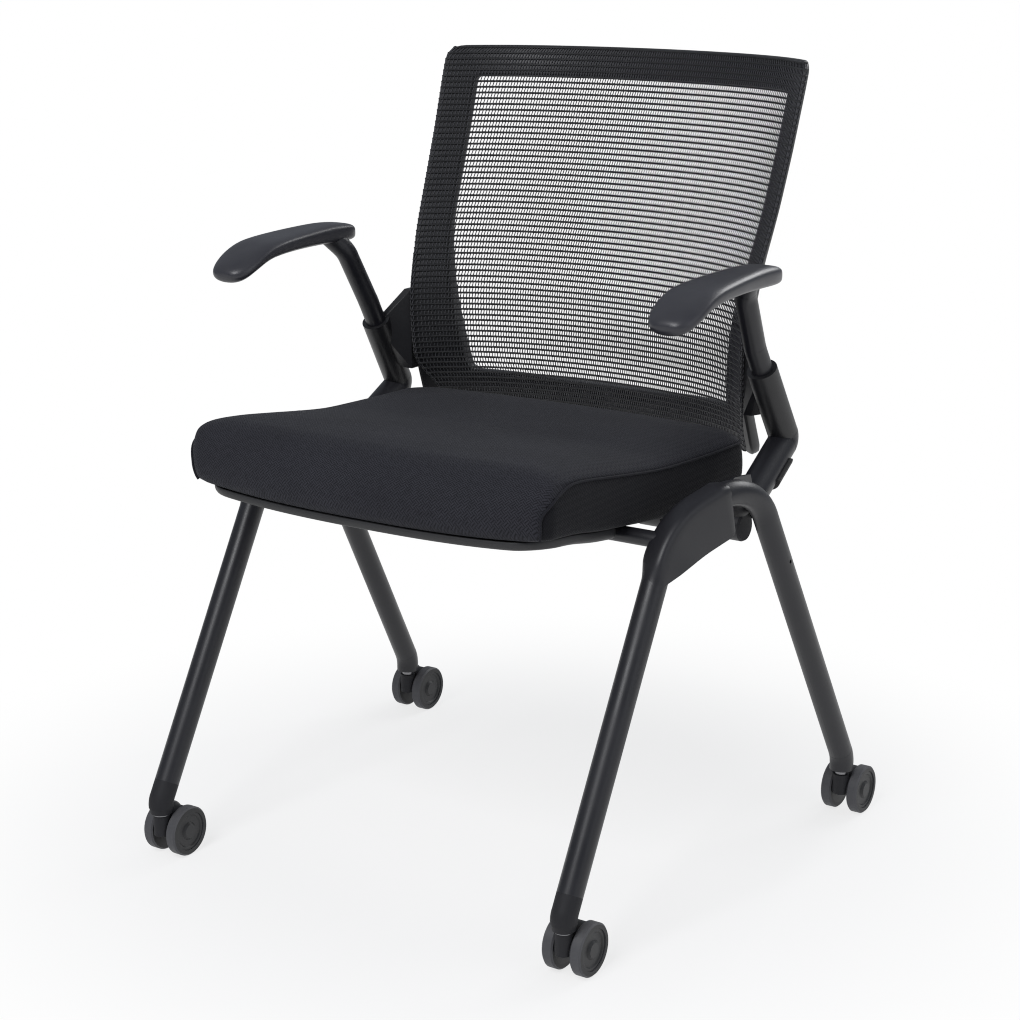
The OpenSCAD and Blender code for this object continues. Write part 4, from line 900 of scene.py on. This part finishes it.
# %% [markdown]
# ### The cover, blown up as cloth
# The cushion's mesh is copied, remeshed into even faces, and swells for twenty steps under a
# little inner pressure with no gravity. Then each point of the shaped cushion moves part of the
# way that the nearest cloth point went, and never more than a few millimetres, so that the
# seam and the flat underside stay where they were made.


# %% Cushion with its swelling
def swell_by_cloth(rings, cap):
    """The way that each point of the cushion goes when the cover is blown up, capped."""
    body = skin("swelling", rings)
    remesh = body.modifiers.new("Even", "REMESH")
    remesh.mode = "VOXEL"
    remesh.voxel_size = 0.006
    apply_modifiers(body)
    before = np.array([v.co for v in body.data.vertices])
    cloth = body.modifiers.new("Cover", "CLOTH")
    settings = cloth.settings
    settings.quality = 6
    settings.mass = 0.3
    settings.tension_stiffness = settings.compression_stiffness = settings.shear_stiffness = 18.0
    settings.bending_stiffness = 4.0
    settings.use_pressure = True
    settings.uniform_pressure_force = 4.0
    settings.effector_weights.gravity = 0.0
    cloth.collision_settings.use_collision = False
    cloth.collision_settings.use_self_collision = False
    pins = body.vertex_groups.new(name="held")
    for i, co in enumerate(before):
        x, y, z = co / mm
        low = z < skirt_z(x, y) + 6
        seam = abs(z - seam_z(x, y)) < 5 and (abs(x) > seat_half - 12 or y > seat_rear - 8)
        pins.add([i], 1.0 if low else 0.9 if seam else 0.0, "REPLACE")
    settings.vertex_group_mass = "held"
    for f in range(1, 21):
        scene.frame_set(f)
    apply_modifiers(body)
    after = np.array([v.co for v in body.data.vertices])
    scene.frame_set(1)
    bpy.data.objects.remove(body)
    way = after - before
    length = np.linalg.norm(way, axis=1, keepdims=True)
    way *= np.minimum(1.0, cap / np.maximum(length, 1e-9))
    print("cover moved by up to", round(float(length.max()) * 1000, 1), "mm, capped at", cap * 1000)
    return before, way


cushion = skin("cushion", cushion_rings)
start, way = swell_by_cloth(cushion_rings, 0.005)
tree_of_points = KDTree(len(start))
for i, co in enumerate(start):
    tree_of_points.insert(co, i)
tree_of_points.balance()
for v in cushion.data.vertices:
    near = tree_of_points.find_n(v.co, 24)
    move = np.mean([way[i] for _, i, _ in near], axis=0)
    x, y, z = v.co / mm
    if z < skirt_z(x, y) + 2:
        continue
    top = z > seam_z(x, y) + 2
    v.co += Vector(move) * (0.35 if top else 0.2)
grid = np.array([v.co for v in cushion.data.vertices])
subdivide(cushion, 1)

# %% [markdown]
# The weave is laid over the faces by what they are: the side band below the seam at the two
# sides and the rear, and the top panel everywhere else. The front has no band, because the
# top panel rolls down over it to the lower edge.

# %% Panels of the cushion
# The first slot holds the lighter copy of the fabric, as painted light, and the second the darker
# copy, as painted shade.
cushion.data.materials.clear()
for m in (lit_top_fabric, shaded_side_fabric):
    cushion.data.materials.append(m)
seam_r = corner_r + 6.0
corner_mid = (seat_half - seam_r, seat_front + seam_r)
seam_turn, bend_run, bend_rise = math.radians(40.0), 83.0, 34.0


def past_corner(x, y):
    """The way along the cushion's edge from the foot of the seam at the front corner."""
    if y > corner_mid[1]:
        return y - corner_mid[1] + seam_r * (math.pi / 2 - seam_turn)
    turn = math.atan2(abs(x) - corner_mid[0], corner_mid[1] - y)
    return seam_r * (turn - seam_turn)


def seam_drop(x, y):
    """How far the seam lies below its level run, round the front corner."""
    ahead = min(1.0, max(0.0, 1 - past_corner(x, y) / bend_run))
    fullness = 2.6
    return bend_rise * (1 - (1 - ahead ** fullness) ** (1 / fullness))


for p in cushion.data.polygons:
    x, y, z = (c / mm for c in p.center)
    band = z < seam_z(x, y) - seam_drop(x, y) and past_corner(x, y) > 0
    p.material_index = 1 if band else 0
    p.use_smooth = True
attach(cushion, "seat")
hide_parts("seat_cushion")
print("cushion faces", len(cushion.data.polygons))

# %% [markdown]
# ### Piping
# A thin cord in a fold of fabric covers the seam. On the real chair it runs back from the
# lower edge at each front corner, up and round the sides and the rear. It follows a path, so
# it is a curve that Geometry Nodes sweep into a round cord.


# %% Piping path and sweep
def piping_tree():
    tree, g_in, g_out, ids = geometry_tree("piping", [
        ("Path", "NodeSocketObject", None), ("Radius", "NodeSocketFloat", 0.0013),
        ("Finish", "NodeSocketMaterial", None)])
    given = g_in.outputs
    info = node(tree, "GeometryNodeObjectInfo", transform_space="ORIGINAL", Object=given["Path"])
    line = node(tree, "GeometryNodeMeshToCurve", Mesh=info.outputs["Geometry"])
    even = node(tree, "GeometryNodeResampleCurve", mode="LENGTH", Length=0.004,
                Curve=line.outputs["Curve"])
    profile = node(tree, "GeometryNodeCurvePrimitiveCircle", Resolution=8, Radius=given["Radius"])
    sweep = node(tree, "GeometryNodeCurveToMesh", Fill_Caps=True, Curve=even.outputs["Curve"],
                 Profile_Curve=profile.outputs["Curve"])
    last = node(tree, "GeometryNodeRealizeInstances", Geometry=sweep.outputs["Mesh"])
    paint = node(tree, "GeometryNodeSetMaterial", Geometry=last.outputs[0], Material=given["Finish"])
    tree.links.new(paint.outputs["Geometry"], g_out.inputs[0])
    return tree, ids


rings_below, seam_start, seam_end = 3, 105.55, 208.45


def on_cushion(row, place):
    """A point of the cushion's own surface, lifted by a part of the piping's radius."""
    count = len(cushion_rings[0])

    def at(i, k):
        return grid[(rings_below + i) * count + k % count]

    i, k = int(row), int(math.floor(place))
    s, t = row - i, place - k
    a, b, c, d = at(i, k), at(i, k + 1), at(i + 1, k + 1), at(i + 1, k)
    spot = (a * (1 - t) + b * t) * (1 - s) + (d * (1 - t) + c * t) * s
    across = np.cross(b - a + c - d, d - a + c - b)
    across /= np.linalg.norm(across)
    if across @ (spot - np.array([0.0, seat_middle * mm, spot[2]])) < 0:
        across = -across
    return spot + across * 0.0006


def seam_path():
    """Up the front corner of one side band, round the rear, and down the other corner."""
    levels = [level for _, level in side_levels[:8]]
    run = []
    for place in np.linspace(seam_start, seam_end, 270):
        x, y, z = on_cushion(4, place) / mm
        rise = seam_z(x, y) - skirt_z(x, y)
        row = float(np.interp(1 - seam_drop(x, y) / rise, levels, range(8)))
        run.append(on_cushion(row, place))
    up, down = ([p for p in (on_cushion(row, place) for row in np.arange(0.4, 4.0, 0.4))
                 if p[2] < met[2] - 0.002]
                for place, met in ((seam_start, run[0]), (seam_end, run[-1])))
    return [Vector(p) for p in up + run + down[::-1]]


path_points = seam_path()
path_object = make_object("seam_path", [], [])
bm = bmesh.new()
made = [bm.verts.new(p) for p in path_points]
for a, b in zip(made, made[1:]):
    bm.edges.new((a, b))
bm.to_mesh(path_object.data)
bm.free()
tree, ids = piping_tree()
seat_piping = run_tree("seat_piping", tree, ids, {
    "Path": path_object, "Radius": 0.0013, "Finish": piping_fabric})
bpy.data.objects.remove(path_object)
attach(seat_piping, "seat")
print("piping faces", len(seat_piping.data.polygons))

# %% [markdown]
# ## The front pan
# Under the front half of the cushion lies a shallow moulded pan. Its rim shows as a grey line
# under the fabric, and its lower edge is rounded. It is a skin over rings, as the cushion is.

# %% Pan
pan_inset = 9.0
pan_end = cross_y - 8.0 - 7.0
pan_outline = [p for p in seat_outline(pan_inset, 36.0, steps=10, level_steps=40, side_steps=60)
               if p[1] < pan_end]


def pan_z(x, y, drop, flat):
    """The flat top lies under the board, and the rest hangs below the cushion's edge."""
    if flat:
        return min(skirt_z(0, y), board_z(y)) - 0.3
    return skirt_z(x, y) - 0.3 - drop * mix(1.0, 1.35, seat_share(y) / 0.37)


def pan_ring(inset, drop, flat=False):
    places = [(x - nx * inset, y - ny * inset) for x, y, nx, ny in pan_outline]
    end = pan_end - (0.5 if flat else 0.0)
    places += [(mix(1, -1, k / 24) * (seat_half - pan_inset - inset), end) for k in range(1, 24)]
    return [(x * mm, y * mm, pan_z(x, y, drop, flat) * mm) for x, y in places]


pan_rings = [pan_ring(13.0, 0, True)]
pan_rings += [pan_ring(inset, drop) for inset, drop in (
    (0.6, 0), (0, 0.8), (0, 4.0), (0.4, 6.0), (1.6, 7.6), (4.0, 8.6), (9.0, 9.0))]
front_pan = skin("front_pan", pan_rings, material=pan_plastic)
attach(front_pan, "seat")
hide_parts("seat_pan")
print("pan faces", len(front_pan.data.polygons))

# %% [markdown]
# ## The pressed brackets
# On the real chair a pressed cover wraps the rail from the leg to the pivot. Its outer face is
# flat and runs flush into the round leg, and it ends in a fold above the pivot's cap. It is
# open below, as a channel. The sections are laid along the rail's middle line, and each
# one is an arch over the tube with two straight walls.

# %% Bracket covers
shoulder = np.array([244.3, front_y / mm + 183.9, 388.2])
rail_turn = math.radians(16.7692)
run_dir = np.array([math.sin(rail_turn), math.cos(rail_turn), 0.0])
out_dir = np.array([math.cos(rail_turn), -math.sin(rail_turn), 0.0])
leg_way, rail_way, rear_way = (0.469, 0.871), (0.960, 0.279), (0.485, -0.867)
front_reach, rear_bend, rear_reach, line_end = 38.3, (109.87, 31.9), 52.5, 74.0
leg_drift, bend_steps, cover_r, cover_wall = 0.145, 18, 12.75, 1.3
edge_low, edge_slope, wall_steps, arch_steps = 40.84, 0.303, 5, 19


def rail_line():
    """Middle line of the rail in its own plane: places, directions and sideways offsets."""
    pts = []
    for k in range(6):
        d = mix(58.0, front_reach, k / 6)
        pts.append((-d * leg_way[0], -d * leg_way[1], *leg_way, leg_drift * d))
    for start, way_a, way_b, reach in (((0.0, 0.0), leg_way, rail_way, front_reach),
                                       (rear_bend, rail_way, rear_way, rear_reach)):
        a = np.array(start) - reach * np.array(way_a)
        b = np.array(start) + reach * np.array(way_b)
        for k in range(bend_steps + 1):
            t = k / bend_steps
            p = (1 - t) ** 2 * a + 2 * t * (1 - t) * np.array(start) + t * t * b
            d = (1 - t) * np.array(way_a) + t * np.array(way_b)
            d = d / np.linalg.norm(d)
            drift = leg_drift * front_reach * (1 - t) ** 2 if way_a is leg_way else 0.0
            pts.append((p[0], p[1], d[0], d[1], drift))
    return [q for q in pts if q[0] <= line_end]


def bracket_cover(name, side, cad):
    line = rail_line()
    rings = []
    for i, (u, v, du, dv, drift) in enumerate(line):
        nu, nv = dv, -du
        share = i / (len(line) - 1)
        w = cover_r + cover_wall * smooth(share / 0.25) - 3.2 * smooth((u - 66) / 8)
        reach = (v + edge_low - edge_slope * u) / (edge_slope * nu - nv)
        reach = max(1.0, reach) * (1 - 0.12 * smooth((u - 60) / 14))
        boxy = mix(1.0, 0.5, smooth(share / 0.3))
        arch = [(-math.sin(a) ** boxy, math.copysign(abs(math.cos(a)) ** boxy, math.cos(a)))
                for a in np.linspace(0, math.pi, arch_steps)]

        def channel(half_w):
            """Down one wall, over the arch and up the other wall."""
            near = [(reach * (1 - k / wall_steps), half_w) for k in range(wall_steps)]
            far = [(reach * (k / wall_steps), -half_w) for k in range(1, wall_steps + 1)]
            return near + [(half_w * t, half_w * q) for t, q in arch] + far

        outer, inner = channel(w), channel(w - cover_wall)
        ring = []
        for t, q in outer + inner[::-1]:
            p = shoulder + run_dir * (u + nu * t) + out_dir * q + np.array([0, 0, v + nv * t])
            p += out_dir * drift
            ring.append((side * p[0] * mm, p[1] * mm, p[2] * mm))
        rings.append(ring)
    count = len(rings[0])
    half = count // 2
    verts = [p for ring in rings for p in ring]
    faces = []
    for i in range(len(rings) - 1):
        for k in range(count):
            n = (k + 1) % count
            faces.append((i * count + k, i * count + n, (i + 1) * count + n, (i + 1) * count + k))
    for base in (0, (len(rings) - 1) * count):
        for k in range(half - 1):
            faces.append((base + k, base + k + 1, base + count - 2 - k, base + count - 1 - k))
    # The gusset: a plate in the chair's side plane, given by its corners in Y and Z.
    plate = [(-30, 383), (29, 371.7), (44, 373), (52, 385), (40, 412), (7, 416), (-30, 402)]
    start = len(verts)
    for x in (253.6, 256.6):
        verts += [(side * x * mm, y * mm, z * mm) for y, z in plate]
    n = len(plate)
    faces.append(tuple(start + k for k in range(n)))
    faces.append(tuple(start + n + k for k in range(n)))
    for k in range(n):
        faces.append((start + k, start + (k + 1) % n, start + n + (k + 1) % n, start + n + k))
    cover = outward(make_object(name, verts, faces, powder_coat))
    edges = cover.modifiers.new("Crisp", "EDGE_SPLIT")
    edges.split_angle = math.radians(40)
    apply_modifiers(cover)
    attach(cover, "frame")
    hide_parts(cad)
    return cover


for name, side, cad in (("bracket_left", 1, "rail_bracket_left"),
                        ("bracket_right", -1, "rail_bracket_right")):
    print(name, "faces", len(bracket_cover(name, side, cad).data.polygons))

# %% [markdown]
# ## The arm pads
# Each pad is one drooping moulding: broad and deep at the front and slim at the rear. Its top
# is flat with a soft edge. It is lofted through sections and smoothed.

# %% Arm pads
# Each row says how far along it lies, how wide it is, and how far its top and its underside
# lie below the pad's highest point, in parts of the length, the width and the thickness.
pad_rows = [
    (0.000, 0.34, 1.84, 2.15), (0.010, 0.54, 1.60, 2.40), (0.033, 0.74, 1.40, 2.52),
    (0.060, 0.86, 1.22, 2.46), (0.092, 0.95, 1.04, 2.24), (0.152, 1.02, 0.74, 1.80),
    (0.220, 1.00, 0.45, 1.45), (0.288, 1.00, 0.28, 1.28), (0.400, 0.95, 0.16, 1.19),
    (0.527, 0.89, 0.08, 1.16), (0.650, 0.82, 0.03, 1.17), (0.780, 0.76, 0.00, 1.22),
    (0.880, 0.71, 0.06, 1.27), (0.957, 0.64, 0.18, 1.28), (0.988, 0.52, 0.34, 1.20),
    (1.000, 0.34, 0.56, 1.06)]
pad_x, pad_w, pad_t, pad_top = 259.0, 54.0, 17.0, 621.3
pad_front, pad_length = front_y / mm + 140.0, 208.0


def arm_pad(name, side):
    count = 28
    rings = []
    for place, wide, high, low in pad_rows:
        crisp = mix(0.9, 0.55, smooth(place / 0.3))
        ring = []
        for k in range(count):
            a = 2 * math.pi * k / count
            c, s = math.cos(a), math.sin(a)
            out = pad_w * wide / 2 * math.copysign(abs(c) ** crisp, c)
            rise = (low - high) / 2 * math.copysign(abs(s) ** crisp, s)
            z = pad_top + pad_t * (rise - (low + high) / 2)
            y = pad_front + pad_length * place
            ring.append((side * (pad_x + out) * mm, y * mm, z * mm))
        rings.append(ring)
    pad = skin(name, rings, material=pad_plastic)
    return subdivide(pad, 2)


for name, side, cad in (("arm_rest_left", 1, "arm_pad_left"),
                        ("arm_rest_right", -1, "arm_pad_right")):
    pad = arm_pad(name, side)
    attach(pad, "frame")
    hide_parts(cad)
    print(name, "faces", len(pad.data.polygons))

# %% [markdown]
# ## Floor and light
# The floor is pale and the light is soft and plain: one broad lamp high in front of the
# chair, a weaker one from the right and one behind, and a white surround. The floor turns to
# pure white away from the chair, so that the picture has the white ground of the photograph
# while the chair keeps its soft shadow.


# %% Floor
def floor_finish():
    material = bpy.data.materials.new("pale_floor")
    material.use_nodes = True
    tree = material.node_tree
    tree.nodes.clear()
    out = tree.nodes.new("ShaderNodeOutputMaterial")
    matt = node(tree, "ShaderNodeBsdfDiffuse", Color=(0.86, 0.86, 0.86, 1.0))
    white = node(tree, "ShaderNodeEmission", Color=(1.0, 1.0, 1.0, 1.0), Strength=1.0)
    path = tree.nodes.new("ShaderNodeLightPath")
    place = tree.nodes.new("ShaderNodeTexCoord").outputs["Object"]
    distance = node(tree, "ShaderNodeVectorMath", operation="LENGTH", Vector=place)
    ramp = node(tree, "ShaderNodeMapRange", interpolation_type="SMOOTHSTEP", From_Min=0.25,
                From_Max=0.75, To_Min=0.72, Value=distance.outputs["Value"])
    seen = math_node(tree, "MAXIMUM", path.outputs["Is Camera Ray"], path.outputs["Is Glossy Ray"])
    seen = math_node(tree, "MAXIMUM", seen, path.outputs["Is Transmission Ray"])
    share = math_node(tree, "MULTIPLY", seen, ramp.outputs["Result"])
    blend = tree.nodes.new("ShaderNodeMixShader")
    tree.links.new(share, blend.inputs[0])
    tree.links.new(matt.outputs[0], blend.inputs[1])
    tree.links.new(white.outputs[0], blend.inputs[2])
    tree.links.new(blend.outputs[0], out.inputs["Surface"])
    return material


floor = make_object("floor", [(-6, -6, 0), (6, -6, 0), (6, 6, 0), (-6, 6, 0)], [(0, 1, 2, 3)],
                    floor_finish(), flat=True)

# %% World and lamps
world = bpy.data.worlds.new("surround")
scene.world = world
world.use_nodes = True
wt = world.node_tree
wt.nodes.clear()
w_out = wt.nodes.new("ShaderNodeOutputWorld")
w_light = node(wt, "ShaderNodeBackground", Color=(0.80, 0.86, 0.96, 1.0), Strength=0.30)
w_white = node(wt, "ShaderNodeBackground", Color=(1.0, 1.0, 1.0, 1.0), Strength=1.0)
w_path = wt.nodes.new("ShaderNodeLightPath").outputs
w_seen = math_node(wt, "MAXIMUM", w_path["Is Camera Ray"], w_path["Is Transmission Ray"])
w_mix = wt.nodes.new("ShaderNodeMixShader")
wt.links.new(w_seen, w_mix.inputs[0])
wt.links.new(w_light.outputs[0], w_mix.inputs[1])
wt.links.new(w_white.outputs[0], w_mix.inputs[2])
wt.links.new(w_mix.outputs[0], w_out.inputs["Surface"])


def lamp(name, place, aim, size, power, colour=(1.0, 1.0, 1.0)):
    data = bpy.data.lights.new(name, "AREA")
    data.shape = "RECTANGLE"
    data.size, data.size_y = size
    data.energy = power
    data.color = colour
    obj = bpy.data.objects.new(name, data)
    obj.location = place
    obj.rotation_euler = (Vector(aim) - Vector(place)).to_track_quat("-Z", "Y").to_euler()
    scene.collection.objects.link(obj)
    return obj


lamp("key", (0.1, -2.5, 2.7), (0, 0, 0.4), (1.3, 1.3), 62.0, (0.98, 0.98, 1.0))
lamp("fill", (2.8, -0.2, 1.6), (0, 0, 0.4), (2.2, 2.2), 12.0, (0.97, 0.98, 1.0))
lamp("rear", (0.6, 2.4, 2.0), (0, 0, 0.6), (1.8, 1.0), 30.0)
scene.cycles.filter_width = 1.1
scene.view_settings.view_transform = "Standard"

# %% [markdown]
# ## End
# The net is a sheet of cloth that was stretched over the frame.

# %% Finish
print("done")
